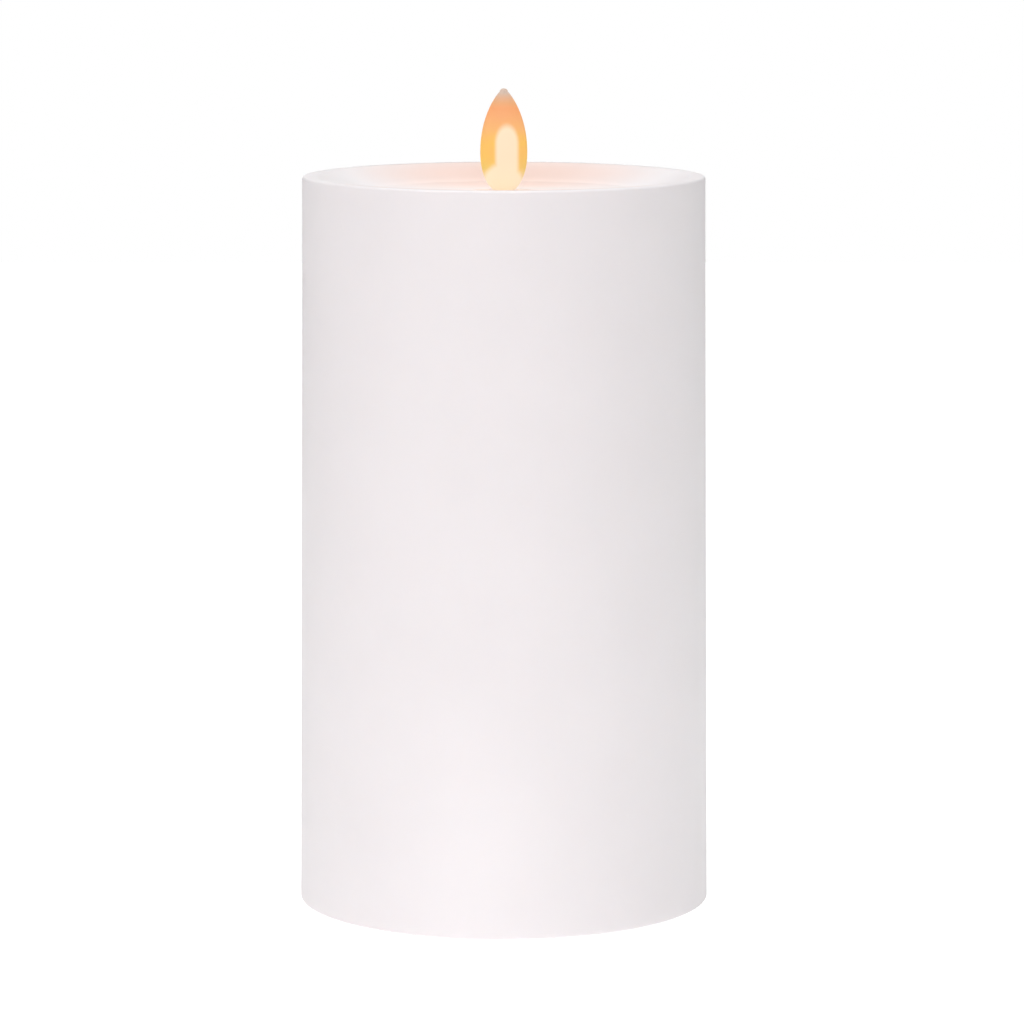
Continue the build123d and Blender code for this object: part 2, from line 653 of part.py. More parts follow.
def switch_insulator():
    """Terminal board that closes the can, and the four pins in it."""
    z0 = BASE_TOP + SWITCH_H
    half_l, half_w = SWITCH_L / 2, SWITCH_W / 2
    board = block(SWITCH_X - half_w, SWITCH_X + half_w, -half_l, half_l, z0, z0 + 1.0)
    for y in switch_pin_ys():
        board += block(SWITCH_X - 0.4, SWITCH_X + 0.4, y - 0.25, y + 0.25, z0 + 0.9, z0 + 4.2)
    return board


def switch_screws():
    """Two small screws through the switch's ears."""
    screw = pan_screw(1.6, 1.0, SMALL_SCREW_R, 1.8)
    z = BASE_TOP + SWITCH_PLATE_T
    ys = [side * (SWITCH_L / 2 + SWITCH_EAR_L / 2) for side in (-1, 1)]
    return [Pos(SWITCH_X, y, z) * screw for y in ys]


def switch_knob():
    """Slider inside the can, with a ribbed knob that reaches out through the base. Rests at ON."""
    y = -SWITCH_TRAVEL / 2
    z0 = BASE_TOP + SWITCH_PLATE_T + 0.1
    half_w = SWITCH_W / 2 - 0.4 - 0.2
    slider = block(SWITCH_X - half_w, SWITCH_X + half_w, y - 2.8, y + 2.8, z0, BASE_TOP + SWITCH_H - 0.2)
    knob_z0 = BASE_Z0 - 0.7
    knob_w, knob_l = KNOB_W / 2, KNOB_L / 2
    knob = block(SWITCH_X - knob_w, SWITCH_X + knob_w, y - knob_l, y + knob_l, knob_z0, z0 + 0.1)
    for i in (-1, 0, 1):
        knob -= Pos(SWITCH_X, y + 1.0 * i, knob_z0) * Rot(0, 90, 0) * Cylinder(0.28, KNOB_W + 1)
    return slider + knob


# ---- movement ----
def led_place(along):
    """A frame on the LED's axis, that far behind its tip, with local +Z along the beam."""
    origin = LED_TIP - LED_AIM * along
    return Plane(origin=origin, x_dir=(1, 0, 0), z_dir=LED_AIM)


def led_rod(r, near, far):
    """A cylinder on the LED's axis, between two distances behind its tip."""
    return led_place((near + far) / 2) * Cylinder(r, far - near)


def led_emitter():
    """A 5 mm LED: dome, barrel and rim."""
    dome = led_place(LED_R) * Sphere(LED_R)
    barrel = led_rod(LED_R, LED_R, LED_L)
    return dome + barrel + led_rod(LED_RIM_R, LED_L - LED_RIM_T, LED_L)


def led_leads():
    """The LED's two square legs."""
    legs = []
    for x in (-1.27, 1.27):
        leg_l = 4.5
        legs.append(led_place(LED_L + leg_l / 2) * Pos(x, 0, 0) * Box(0.5, 0.5, leg_l))
    return legs


def half_space(side):
    """Everything on one side of the movement's joint plane, Y = 0."""
    y0, y1 = (-60, 0) if side < 0 else (0, 60)
    return block(-60, 60, y0, y1, HOUSING_Z0 - 20, HOUSING_TOP)


def lug_spots():
    """Places of the screw lugs on the housing's sides, as (x, z)."""
    x = HOUSING_R + LUG_R - 0.3
    zs = (HOUSING_Z0 + 7.5, HOUSING_Z0 + 25.5)
    return [(sx * x, z) for sx in (-1, 1) for z in zs]


def housing_ear(x, y):
    """An ear that reaches out under one of the shell's ceiling bosses."""
    z0, z1 = EAR_TOP - EAR_T, EAR_TOP
    reach = math.hypot(x, y)
    arm = Rot(0, 0, math.degrees(math.atan2(y, x))) * block(CAVITY_R + 0.5, reach, -2.9, 2.9, z0, z1)
    ear = arm + rod(2.9, z0, z1, x, y)
    return ear - rod(SMALL_SCREW_R + 0.2, z0 - 1, z1 + 1, x, y)


def housing_half(side):
    """One half of the movement's case: front with the LED's tube, rear with the board's stand-offs."""
    body = rod(HOUSING_R, HOUSING_Z0, HOUSING_TOP)
    for x, z in lug_spots():
        body += rod_y(LUG_R, -LUG_HALF_L, LUG_HALF_L, x, z)
        web_x0, web_x1 = sorted((x, math.copysign(CAVITY_R + 0.5, x)))
        body += block(web_x0, web_x1, -2.0, 2.0, z - LUG_R, z + LUG_R)
    if side < 0:
        body += led_rod(LED_R + LED_POCKET_GAP + LED_TUBE_WALL, 1.0, LED_L + 0.2)
    for x, y in ceiling_spots():
        if y * side > 0:
            body += housing_ear(x, y)
    cavity = rod(CAVITY_R, HOUSING_Z0 + HOUSING_FLOOR, HOUSING_TOP + 1)
    saddle_out = SADDLE_IN + SADDLE_T
    saddles = block(-CAVITY_R, CAVITY_R, -saddle_out, saddle_out, WIRE_AXIS_Z - 4, SADDLE_TOP)
    saddles -= block(-CAVITY_R, CAVITY_R, -SADDLE_IN, SADDLE_IN, WIRE_AXIS_Z - 5, SADDLE_TOP + 1)
    cavity -= saddles
    body -= cavity
    slot_half = SADDLE_SLOT_W / 2
    body -= block(-slot_half, slot_half, -SLOT_REACH, SLOT_REACH, WIRE_AXIS_Z, SADDLE_TOP + 1)
    body -= rod_y(slot_half, -SLOT_REACH, SLOT_REACH, 0, WIRE_AXIS_Z)
    body = body & half_space(side)
    if side < 0:
        body -= led_rod(LED_R + LED_POCKET_GAP, -6.0, LED_L - LED_RIM_T - 0.05)
        body -= led_rod(LED_RIM_R + LED_POCKET_GAP, LED_L - LED_RIM_T - 0.05, LED_L + 12)
    else:
        for z in BOARD_SCREW_ZS:
            body += rod_y(2.2, HOUSING_R - 0.6, BOARD_Y0, 0, z)
            body -= rod_y(SMALL_SCREW_R + THREAD_GAP, HOUSING_R - 1.2, BOARD_Y0 + 1, 0, z)
        body -= block(-3.0, 3.0, CAVITY_R - 2.5, HOUSING_R + 1, HOUSING_Z0 - 1, HOUSING_Z0 + HOUSING_FLOOR)
    for x, z in lug_spots():
        if side < 0:
            body -= rod_y(SMALL_SCREW_R + 0.2, -LUG_HALF_L - 1, 1, x, z)
        else:
            body -= rod_y(SMALL_SCREW_R + THREAD_GAP, -1, LUG_HALF_L - 0.5, x, z)
    return body


def housing_screws():
    """Four screws that close the movement's case, driven from the front."""
    screw = Rot(90, 0, 0) * pan_screw(SMALL_HEAD_R, SMALL_HEAD_H, SMALL_SCREW_R, 2 * LUG_HALF_L - 1.0)
    return [Pos(x, -LUG_HALF_L, z) * screw for x, z in lug_spots()]


def ceiling_screws():
    """Four screws that hang the movement from the shell's ceiling."""
    screw = pan_screw(SMALL_HEAD_R, SMALL_HEAD_H, SMALL_SCREW_R, EAR_T + 4.5)
    return [screw_up(screw, x, y, EAR_TOP - EAR_T) for x, y in ceiling_spots()]


def flame_collar():
    """Insert in the pool floor: nose, flange, flame slot, light port and feet that keep the wire down."""
    nose_r = COLLAR_HOLE_R - COLLAR_FIT
    body = turned(
        [
            (0, HOUSING_TOP, 0),
            (COLLAR_FLANGE_R, HOUSING_TOP, 0.3),
            (COLLAR_FLANGE_R, COLLAR_FLANGE_TOP, 0.3),
            (nose_r, COLLAR_FLANGE_TOP, 0),
            (nose_r, COLLAR_TOP, 0.5),
            (0, COLLAR_TOP, 0),
        ]
    )
    slot = RectangleRounded(8.2, 5.0, 2.4)
    body -= Pos(0, 0, HOUSING_TOP - 1) * extrude(slot, 6)
    body -= Pos(0, 0, COLLAR_TOP - 0.7) * extrude(slot, 3, taper=-35)
    body -= led_rod(LED_R + LED_POCKET_GAP, -7.0, 6.0)
    for side in (-1, 1):
        y0, y1 = sorted((side * (SADDLE_IN + 0.1), side * (SADDLE_IN + SADDLE_T)))
        foot = block(-4.2, 4.2, y0, y1, SADDLE_TOP + 0.05, HOUSING_TOP + 0.1)
        body += foot - led_rod(LED_R + 0.3, -7.0, 9.0)
    return body


def support_wire():
    """Cranked steel wire: its ends turn in the saddles and the flame hangs on its low middle."""
    end_y = SLOT_REACH - WIRE_END_GAP
    top_y = WIRE_FLAT + 1.1
    z0, z1 = HANG_Z, WIRE_AXIS_Z
    points = [(0, -end_y, z1), (0, -top_y, z1), (0, -WIRE_FLAT, z0)]
    points += [(0, WIRE_FLAT, z0), (0, top_y, z1), (0, end_y, z1)]
    route = FilletPolyline(*points, radius=0.6)
    start = Plane(origin=points[0], z_dir=(0, 1, 0))
    return sweep(start * Circle(WIRE_R), path=route)


def blade_half_width(z):
    """Half-width of the blade at a height: a pointed taper above its widest level, an oval below."""
    if z >= BLADE_WIDE_Z:
        share = (FLAME_TIP_Z - z) / (FLAME_TIP_Z - BLADE_WIDE_Z)
        return FLAME_W / 2 * math.sin(math.pi / 2 * share**0.735)
    share = (BLADE_WIDE_Z - z) / (BLADE_WIDE_Z - NECK_Z + 0.3)
    return max(NECK_W / 2, FLAME_W / 2 * math.sqrt(1 - share**2.2))


def blade_half_thickness(z):
    """Half-thickness of the blade at a height, fuller than its width near the tip."""
    fullness = blade_half_width(z) / (FLAME_W / 2)
    return max(FLAME_T / 2 * fullness**0.7, NECK_T / 2 * min(1.0, fullness * 2.2))


def blade_levels():
    """Heights of the blade's sections, closest where its outline turns fastest."""
    fall, rise = BLADE_WIDE_Z - NECK_Z, FLAME_TIP_Z - BLADE_WIDE_Z
    below = [BLADE_WIDE_Z - share * fall for share in (1.0, 0.965, 0.88, 0.72, 0.5, 0.25)]
    return below + [BLADE_WIDE_Z + share * rise for share in (0.0, 0.2, 0.4, 0.58, 0.74, 0.87, 0.95)]


def flame_blade():
    """The lens-shaped teardrop that is seen above the pool."""
    levels = blade_levels()
    blade = loft([Pos(0, 0, z) * Ellipse(blade_half_width(z), blade_half_thickness(z)) for z in levels])
    z = levels[-1]
    tip = scale(Sphere(1.0), by=(blade_half_width(z), blade_half_thickness(z), FLAME_TIP_Z - z))
    return blade + (Pos(0, 0, z) * tip & block(-3, 3, -3, 3, z - 0.02, FLAME_TIP_Z + 1))


def flame_tab():
    """Flame blade, stem, eye with a round crossbar, and magnet cup in one moulding."""
    cup_z0 = MAGNET_Z - MAGNET_H / 2 - 0.4
    cup_z1 = MAGNET_Z + MAGNET_H / 2 + CUP_WALL
    stem_top = NECK_Z - 4.5
    stem = block(-STEM_W / 2, STEM_W / 2, -STEM_T / 2, STEM_T / 2, cup_z1 - 0.2, stem_top)
    neck = loft(
        [
            Pos(0, 0, stem_top) * Rectangle(STEM_W, STEM_T),
            Pos(0, 0, NECK_Z + 0.3) * Rectangle(NECK_W * 0.8, NECK_T * 0.7),
        ]
    )
    body = flame_blade() + neck + stem + rod(MAGNET_R + CUP_WALL, cup_z0, cup_z1)
    body -= rod(MAGNET_R + 0.02, cup_z0 - 1, MAGNET_Z + MAGNET_H / 2)
    eye_z0 = HANG_Z - EYE_DROP + WIRE_R
    body -= block(-EYE_W / 2, EYE_W / 2, -STEM_T, STEM_T, eye_z0, NOD_Z)
    return body + rod_x(STEM_T / 2, -EYE_W / 2 - 0.1, EYE_W / 2 + 0.1, 0, NOD_Z)


def flame_magnet():
    """Disc magnet pressed in the tab's cup."""
    z0, z1 = MAGNET_Z - MAGNET_H / 2, MAGNET_Z + MAGNET_H / 2
    return turned([(0, z0, 0), (MAGNET_R, z0, 0.25), (MAGNET_R, z1, 0.25), (0, z1, 0)])


def coil_bobbin():
    """Flanged spool of the drive coil."""
    z0, z1 = COIL_Z0, COIL_Z0 + COIL_H
    r = COIL_R - 0.1
    body = rod(COIL_CORE_R, z0, z1) + rod(r, z0, z0 + COIL_FLANGE_T) + rod(r, z1 - COIL_FLANGE_T, z1)
    return body - rod(COIL_BORE_R, z0 - 1, z1 + 1)


def coil_winding():
    """Enamelled copper winding, ribbed by its outer layer of turns."""
    z0 = COIL_Z0 + COIL_FLANGE_T + 0.02
    z1 = COIL_Z0 + COIL_H - COIL_FLANGE_T - 0.02
    r = COIL_R - 1.1
    body = ring(r, COIL_CORE_R + 0.02, z0, z1)
    turns = 12
    step = (z1 - z0) / turns
    grooves = Part()
    for i in range(1, turns):
        grooves += Pos(0, 0, z0 + i * step) * Torus(r + 0.08, 0.2)
    return body - grooves


# ---- driver board ----
def driver_board():
    """Bare board with its two screw holes and the coil and LED solder holes."""
    y0, y1 = BOARD_Y0, BOARD_Y0 + BOARD_T
    body = block(-BOARD_W / 2, BOARD_W / 2, y0, y1, BOARD_Z0, BOARD_Z1)
    body = fillet(body.edges().filter_by(Axis.Y), 1.2)
    for z in BOARD_SCREW_ZS:
        body -= rod_y(SMALL_SCREW_R + 0.2, y0 - 1, y1 + 1, 0, z)
    for x, z in coil_pads() + led_pads():
        body -= rod_y(0.45, y0 - 1, y1 + 1, x, z)
    return body


def coil_pads():
    """Solder holes for the coil's leads, as (x, z)."""
    return [(x, BOARD_Z0 + 13.0) for x in (-8.6, -6.2)]


def led_pads():
    """Solder holes for the LED's wires, as (x, z)."""
    return [(8.6, BOARD_Z1 - z) for z in (11.0, 13.4)]


def board_face():
    """Y of the board's outer face, where its parts sit."""
    return BOARD_Y0 + BOARD_T


def driver_chip():
    """A fourteen-pin controller with gull-wing legs."""
    y0 = board_face()
    x, z = -3.5, BOARD_Z0 + 24.5
    body = block(x - 1.95, x + 1.95, y0 + 0.2, y0 + 1.7, z - 4.3, z + 4.3)
    body -= rod_y(0.4, y0 + 1.5, y0 + 2.5, x - 1.0, z + 3.3)
    for i in range(7):
        leg_z = z + (i - 3) * 1.2
        for side in (-1, 1):
            x0, x1 = sorted((x + side * 1.9, x + side * 3.0))
            body += block(x0, x1, y0, y0 + 0.7, leg_z - 0.2, leg_z + 0.2)
    return body


def board_capacitor():
    """Electrolytic capacitor standing off the board."""
    y0 = board_face()
    can = turned([(0, 0, 0), (3.15, 0, 0.4), (3.15, 8.0, 0.5), (0, 8.0, 0)])
    groove = Pos(0, 0, 1.4) * Torus(3.3, 0.35)
    return Pos(6.2, y0, BOARD_Z0 + 12.2) * Rot(-90, 0, 0) * (can - groove)


def board_resistors():
    """Chip resistors and small capacitors beside the controller."""
    y0 = board_face()
    chips = []
    for i in range(4):
        z = BOARD_Z0 + 19.5 + i * 3.0
        chips.append(block(4.2, 6.2, y0, y0 + 0.6, z - 0.6, z + 0.6))
    for i in range(3):
        x = -8.0 + i * 2.4
        chips.append(block(x - 0.6, x + 0.6, y0, y0 + 0.6, BOARD_Z1 - 9.0, BOARD_Z1 - 7.0))
    return chips


def board_transistors():
    """Two small drive transistors, each with three legs."""
    y0 = board_face()
    found = []
    for z in (BOARD_Z0 + 17.2, BOARD_Z0 + 21.0):
        x = -8.2
        body = block(x - 0.7, x + 0.7, y0 + 0.1, y0 + 1.1, z - 1.45, z + 1.45)
        for leg_x, leg_z in ((1, 0.95), (1, -0.95), (-1, 0.0)):
            x0, x1 = sorted((x + leg_x * 0.6, x + leg_x * 1.25))
            body += block(x0, x1, y0, y0 + 0.35, z + leg_z - 0.2, z + leg_z + 0.2)
        found.append(body)
    return found


def plug_y():
    """Y of the leads' row in the connector."""
    return board_face() + 2.6


def board_connector():
    """Three-way header on the board's lower edge, open downwards."""
    y0, y1 = board_face(), board_face() + 5.2
    z0, z1 = BOARD_Z0 + 0.5, BOARD_Z0 + 8.0
    body = block(-5.0, 5.0, y0, y1, z0, z1)
    return body - block(-4.3, 4.3, y0 + 0.7, y1 - 0.7, z0 - 1, z1 - 0.8)


def lead_plug():
    """Plug pushed up into the header, with a wing for each lead."""
    y = plug_y()
    z1 = BOARD_Z0 + 7.0
    body = block(-4.2, 4.2, y - 1.8, y + 1.8, BOARD_Z0 - 1.2, z1)
    for x in (-2.0, 0.0, 2.0):
        body -= rod(LEAD_D / 2 + 0.02, BOARD_Z0 - 2, BOARD_Z0 + 1.5, x, y)
        body -= block(x - 0.5, x + 0.5, y + 1.4, y + 2.5, BOARD_Z0 + 0.4, BOARD_Z0 + 2.6)
    return body


def board_screws():
    """Two screws that hold the board on its stand-offs."""
    screw = Rot(-90, 0, 0) * pan_screw(SMALL_HEAD_R, SMALL_HEAD_H, SMALL_SCREW_R, BOARD_T + BOARD_STANDOFF)
    return [Pos(0, board_face(), z) * screw for z in BOARD_SCREW_ZS]


# ---- leads ----
def lead_ends():
    """Where the long leads enter the plug: (x, y, z) for each of the three ways."""
    z = BOARD_Z0 + 1.4
    return [(x, plug_y(), z) for x in (-2.0, 0.0, 2.0)]


def climb(z0, z1, share):
    """A height that is this share of the way from one end of a lead to the other."""
    return z0 + share * (z1 - z0)


def lead_negative():
    """Black lead from the negative contact up to the plug."""
    x0, y0, z0 = CELL_X, TUB_IN_Y + 0.62, TUB_TOP + 1.2
    x1, y1, z1 = lead_ends()[0]
    return lead(
        [
            (x0, y0, z0),
            (x0, y0, climb(z0, z1, 0.16)),
            (x0 - 3, y0 - 2, climb(z0, z1, 0.36)),
            (x0 - 8, y0 - 5, climb(z0, z1, 0.57)),
            (x1 + 1.5, y1 + 2.5, climb(z0, z1, 0.77)),
            (x1, y1, climb(z0, z1, 0.9)),
            (x1, y1, z1),
        ],
        LEAD_D,
    )


def switch_lead(pin, way, side):
    """A long lead from a switch pin up to one way of the plug, on one side of its pair's middle line."""
    x0, y0, z0 = SWITCH_X + 1.0, switch_pin_ys()[pin], BASE_TOP + SWITCH_H + 1.3
    x1, y1, z1 = lead_ends()[way]
    return lead(
        [
            (x0, y0, z0),
            (x0, y0, climb(z0, z1, 0.12)),
            (x0 - 1.0 + 0.3 * side, 4 - 1.2 * side, climb(z0, z1, 0.27)),
            (x0 - 6.0 + 0.6 * side, 9 - 1.1 * side, climb(z0, z1, 0.44)),
            (x0 - 15.5 + 0.9 * side, 14 - 0.9 * side, climb(z0, z1, 0.61)),
            (9.0 + side, y1 + 1 - 0.5 * side, climb(z0, z1, 0.78)),
            (x1, y1, climb(z0, z1, 0.91)),
            (x1, y1, z1),
        ],
        LEAD_D,
    )


def lead_positive():
    """Red lead from the positive contact over the tub to the switch."""
    x0, y0, z0 = -CELL_X, TUB_IN_Y + 0.62, TUB_TOP + 1.2
    x1, y1, z1 = SWITCH_X - 1.0, switch_pin_ys()[3], BASE_TOP + SWITCH_H + 1.3
    return lead(
        [
            (x0, y0, z0),
            (x0, y0, z0 + 9),
            (x0 + 5, y0 - 7, z0 + 16),
            (3, y0 / 2, z0 + 17),
            (TUB_OUT_X - 12, y0 / 3, z0 + 13),
            (TUB_OUT_X + 1, y0 / 5, z0 + 5),
            (x1, y1, climb(z0, z1, 0.3)),
            (x1, y1, z1),
        ],
        LEAD_D,
    )


def led_wires():
    """Two fine wires from the LED's legs round the case to the board."""
    wires = []
    for i, (pad_x, pad_z) in enumerate(led_pads()):
        leg = led_place(LED_L + 4.6) * Pos(-1.27 if i else 1.27, 0, 0)
        start = leg.position
        behind = start - LED_AIM * 5
        out = 1.2 * i
        wires.append(
            lead(
                [
                    (start.X, start.Y, start.Z),
                    (behind.X, behind.Y, behind.Z),
                    (6.5 + out, -15.0 - out, start.Z - 7 - out),
                    (14.5 + out, -9.0, start.Z - 8.5 - out),
                    (18.0 + out, 1.0, pad_z - 1.5),
                    (15.5 + out, 8.0, pad_z - 0.5),
                    (pad_x, BOARD_Y0 - 4.4, pad_z),
                    (pad_x, BOARD_Y0 + 0.6, pad_z),
                ],
                FINE_LEAD_D,
            )
        )
    return wires


def coil_leads():
    """Two fine wires from the coil out under the case to the board."""
    wires = []
    for i, (pad_x, pad_z) in enumerate(coil_pads()):
        x = -1.6 + 2.0 * i
        z = HOUSING_Z0 + HOUSING_FLOOR - 0.2
        wires.append(
            lead(
                [
                    (x, CAVITY_R - 1.0, z),
                    (x, CAVITY_R - 1.0, z - 5.0),
                    (x - 3.5, CAVITY_R - 0.8, z - 8.5),
                    (pad_x - 0.4, CAVITY_R - 0.4, z - 6.5),
                    (pad_x, CAVITY_R + 0.8, pad_z - 0.8),
                    (pad_x, BOARD_Y0 + 0.6, pad_z),
                ],
                COIL_LEAD_D,
            )
        )
    return wires


def main():
    """Builds every node and writes its file."""
    os.makedirs("parts", exist_ok=True)
    save("outer_shell", outer_shell())
    save("base_plate", base_plate())
    save("base_feet", *base_feet())
    save("base_screws", *base_screws())
    save("battery_door", battery_door())
    save("door_latch", door_latch())
    for name, side in (("left", -1), ("right", 1)):
        save(f"battery_{name}", lay_cell(cell_can(), side))
        save(f"battery_sleeve_{name}", lay_cell(cell_sleeve(), side))
    save("positive_contact", positive_contact())
    save("negative_contact", negative_contact())
    save("bridge_contact", bridge_contact())
    save("contact_springs", *contact_springs())
    save("switch_frame", switch_frame())
    save("switch_insulator", switch_insulator())
    save("switch_screws", *switch_screws())
    save("switch_knob", switch_knob())
    save("mech_housing_front", housing_half(-1))
    save("mech_housing_rear", housing_half(1))
    save("housing_screws", *housing_screws())
    save("ceiling_screws", *ceiling_screws())
    save("flame_collar", flame_collar())
    save("support_wire", support_wire())
    save("flame_tab", flame_tab())
    save("flame_magnet", flame_magnet())
    save("led_emitter", led_emitter())
    save("led_leads", *led_leads())
    save("led_wires", *led_wires())
    save("coil_bobbin", coil_bobbin())
    save("coil_winding", coil_winding())
    save("coil_leads", *coil_leads())
    save("driver_board", driver_board())
    save("driver_chip", driver_chip())
    save("board_capacitor", board_capacitor())
    save("board_resistors", *board_resistors())
    save("board_transistors", *board_transistors())
    save("board_connector", board_connector())
    save("board_screws", *board_screws())
    save("lead_plug", lead_plug())
    save("lead_negative", lead_negative())
    save("lead_positive", lead_positive())
    save("lead_on", switch_lead(1, 2, 1.0))
    save("lead_timer", switch_lead(2, 1, -1.0))


main()
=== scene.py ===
"""Looks of a moving-flame LED pillar candle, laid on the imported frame.

The frame brings every CAD node in place. This script gives each node its finish, adds the shrunk sleeves of the
cells and the solder that holds the wiring, and sets up a light table, its soft boxes and one camera.
Lengths are in metres, and in millimetres where a name says so.
"""

import logging
import math
from dataclasses import dataclass, field
from enum import Enum
from typing import Any

import bmesh
import bpy
from mathutils import Matrix, Vector


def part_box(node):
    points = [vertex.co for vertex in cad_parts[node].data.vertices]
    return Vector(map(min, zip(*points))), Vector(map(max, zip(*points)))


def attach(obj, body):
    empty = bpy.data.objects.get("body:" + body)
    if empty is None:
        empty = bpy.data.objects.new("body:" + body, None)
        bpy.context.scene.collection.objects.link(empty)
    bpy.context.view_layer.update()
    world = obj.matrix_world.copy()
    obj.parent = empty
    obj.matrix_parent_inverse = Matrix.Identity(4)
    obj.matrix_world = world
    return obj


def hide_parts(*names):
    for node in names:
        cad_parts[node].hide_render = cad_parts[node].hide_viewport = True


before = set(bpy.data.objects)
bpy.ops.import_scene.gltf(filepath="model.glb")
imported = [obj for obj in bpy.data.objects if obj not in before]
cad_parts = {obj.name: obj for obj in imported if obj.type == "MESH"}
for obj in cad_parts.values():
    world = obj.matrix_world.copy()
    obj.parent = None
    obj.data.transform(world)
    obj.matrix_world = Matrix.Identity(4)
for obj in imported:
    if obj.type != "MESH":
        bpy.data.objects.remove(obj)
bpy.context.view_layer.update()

log = logging.getLogger("candle")
MM = 0.001
CANDLE = "candle_body"
Socket = bpy.types.NodeSocket
Tree = bpy.types.ShaderNodeTree


class Cell(Enum):
    """The two cells, by the way their nubs face along Y."""

    LEFT = 1
    RIGHT = -1

    @property
    def side(self) -> str:
        """The word that the cell's nodes end in."""
        return self.name.lower()


# ---------------------------------------------------------------- shared helpers
def linear(colour: str) -> tuple[float, ...]:
    """Turns an sRGB hex colour into linear light.

    Args:
        colour: six hex digits, such as "F2F0EE".

    Returns:
        Red, green, blue and an alpha of one.
    """
    shares = [int(colour[i : i + 2], 16) / 255 for i in (0, 2, 4)]
    return (*[s / 12.92 if s <= 0.04045 else ((s + 0.055) / 1.055) ** 2.4 for s in shares], 1.0)


def per_size(size_mm: float) -> float:
    """Gives the texture scale whose features are about this many millimetres across."""
    return 1 / (size_mm * MM)


def add_node(tree: Tree, kind: str, inputs: dict, output: int = 0, stops: tuple = (), **settings: Any) -> Socket:
    """Adds one shader node with its settings and links.

    Args:
        tree: the node tree.
        kind: the node's type without "ShaderNode".
        inputs: a value, or another node's output socket, for each input that isn't left alone.
        output: the output that is handed back.
        stops: (place, hex colour) pairs, for a colour ramp.
        **settings: the node's own properties.

    Returns:
        The chosen output socket, or the first input's if the node has no output.
    """
    made = tree.nodes.new("ShaderNode" + kind)
    for name, value in settings.items():
        setattr(made, name, value)
    for number, (where, colour) in enumerate(stops):
        elements = made.color_ramp.elements
        element = elements[number] if number < len(elements) else elements.new(where)
        element.position = where
        element.color = linear(colour)
    for key, value in inputs.items():
        if isinstance(value, Socket):
            tree.links.new(value, made.inputs[key])
        else:
            made.inputs[key].default_value = value
    return made.outputs[output] if made.outputs else made.inputs[0]


def patches(tree: Tree, place: Socket, size_mm: float, low: float = 0.0, high: float = 1.0) -> Socket:
    """A value that wanders softly between two levels.

    Args:
        tree: the node tree.
        place: object coordinates.
        size_mm: how far apart the patches are.
        low: the lower level.
        high: the higher level.

    Returns:
        The value.
    """
    cloud = add_node(tree, "TexNoise", {"Vector": place, "Scale": per_size(size_mm), "Detail": 4.0})
    levels = {"Value": cloud, "From Min": 0.35, "From Max": 0.68, "To Min": low, "To Max": high}
    return add_node(tree, "MapRange", levels, interpolation_type="SMOOTHSTEP")


def two_tone(tree: Tree, place: Socket, size_mm: float, colour: str, other: str) -> Socket:
    """A colour that drifts to a second one in soft patches of this size."""
    share = patches(tree, place, size_mm)
    return add_node(tree, "Mix", {0: share, 6: linear(colour), 7: linear(other)}, 2, data_type="RGBA")


def grain(tree: Tree, place: Socket, size_mm: float, depth_mm: float) -> Socket:
    """Normal of a fine random texture of this size and depth."""
    rough = add_node(tree, "TexNoise", {"Vector": place, "Scale": per_size(size_mm), "Detail": 4.0})
    return add_node(tree, "Bump", {"Height": rough, "Distance": depth_mm * MM, "Strength": 0.6})


# ---------------------------------------------------------------- finishes
@dataclass(frozen=True)
class Finish:
    """A named surface finish that can dress any object."""

    name: str

    def shade(self, tree: Tree, place: Socket) -> Socket:
        """Builds the finish's nodes.

        Args:
            tree: the material's node tree.
            place: object coordinates in metres.

        Returns:
            The shader socket.
        """
        raise NotImplementedError

    def material(self) -> bpy.types.Material:
        """Makes the material, or finds it if it's there already.

        Returns:
            The material.
        """
        found = bpy.data.materials.get(self.name)
        if found:
            return found
        made = bpy.data.materials.new(self.name)
        made.use_nodes = True
        tree = made.node_tree
        tree.nodes.clear()
        place = add_node(tree, "TexCoord", {}, 3)
        add_node(tree, "OutputMaterial", {"Surface": self.shade(tree, place)})
        return made

    def dress(self, *objects: bpy.types.Object) -> None:
        """Lays the finish over the whole of each object.

        Args:
            *objects: the objects that it covers.
        """
        for item in objects:
            item.data.materials.clear()
            item.data.materials.append(self.material())
            log.info("%s: %s", item.name, self.name)


@dataclass(frozen=True)
class MouldedPlastic(Finish):
    """Injection-moulded plastic: an even colour with a faint flow mottle, and the eroded mould's grain."""

    colour: str
    other: str
    roughness: float = 0.5
    grain_mm: float = 0.6
    depth_mm: float = 0.02
    mottle_mm: float = 18.0
    depth_of_light: float = 0.0

    def tint(self, tree: Tree, place: Socket) -> Socket:
        """Colour of the plastic with its slow mottle."""
        return two_tone(tree, place, self.mottle_mm, self.colour, self.other)

    def glow(self, tree: Tree, place: Socket) -> dict:
        """Inputs for light that the plastic gives out itself: none."""
        return {}

    def shade(self, tree: Tree, place: Socket) -> Socket:
        """Plastic with mottle, grain, uneven sheen and a little light let into the wall.

        Args:
            tree: the material's node tree.
            place: object coordinates.

        Returns:
            The shader socket.
        """
        inputs = {
            "Base Color": self.tint(tree, place),
            "Roughness": patches(tree, place, self.mottle_mm / 3, self.roughness - 0.05, self.roughness + 0.06),
            "Normal": grain(tree, place, self.grain_mm, self.depth_mm),
            "IOR": 1.53,
            "Subsurface Weight": self.depth_of_light,
            "Subsurface Scale": 2.5 * MM,
            "Subsurface Radius": (1.0, 0.85, 0.75),
        }
        return add_node(tree, "BsdfPrincipled", inputs | self.glow(tree, place))


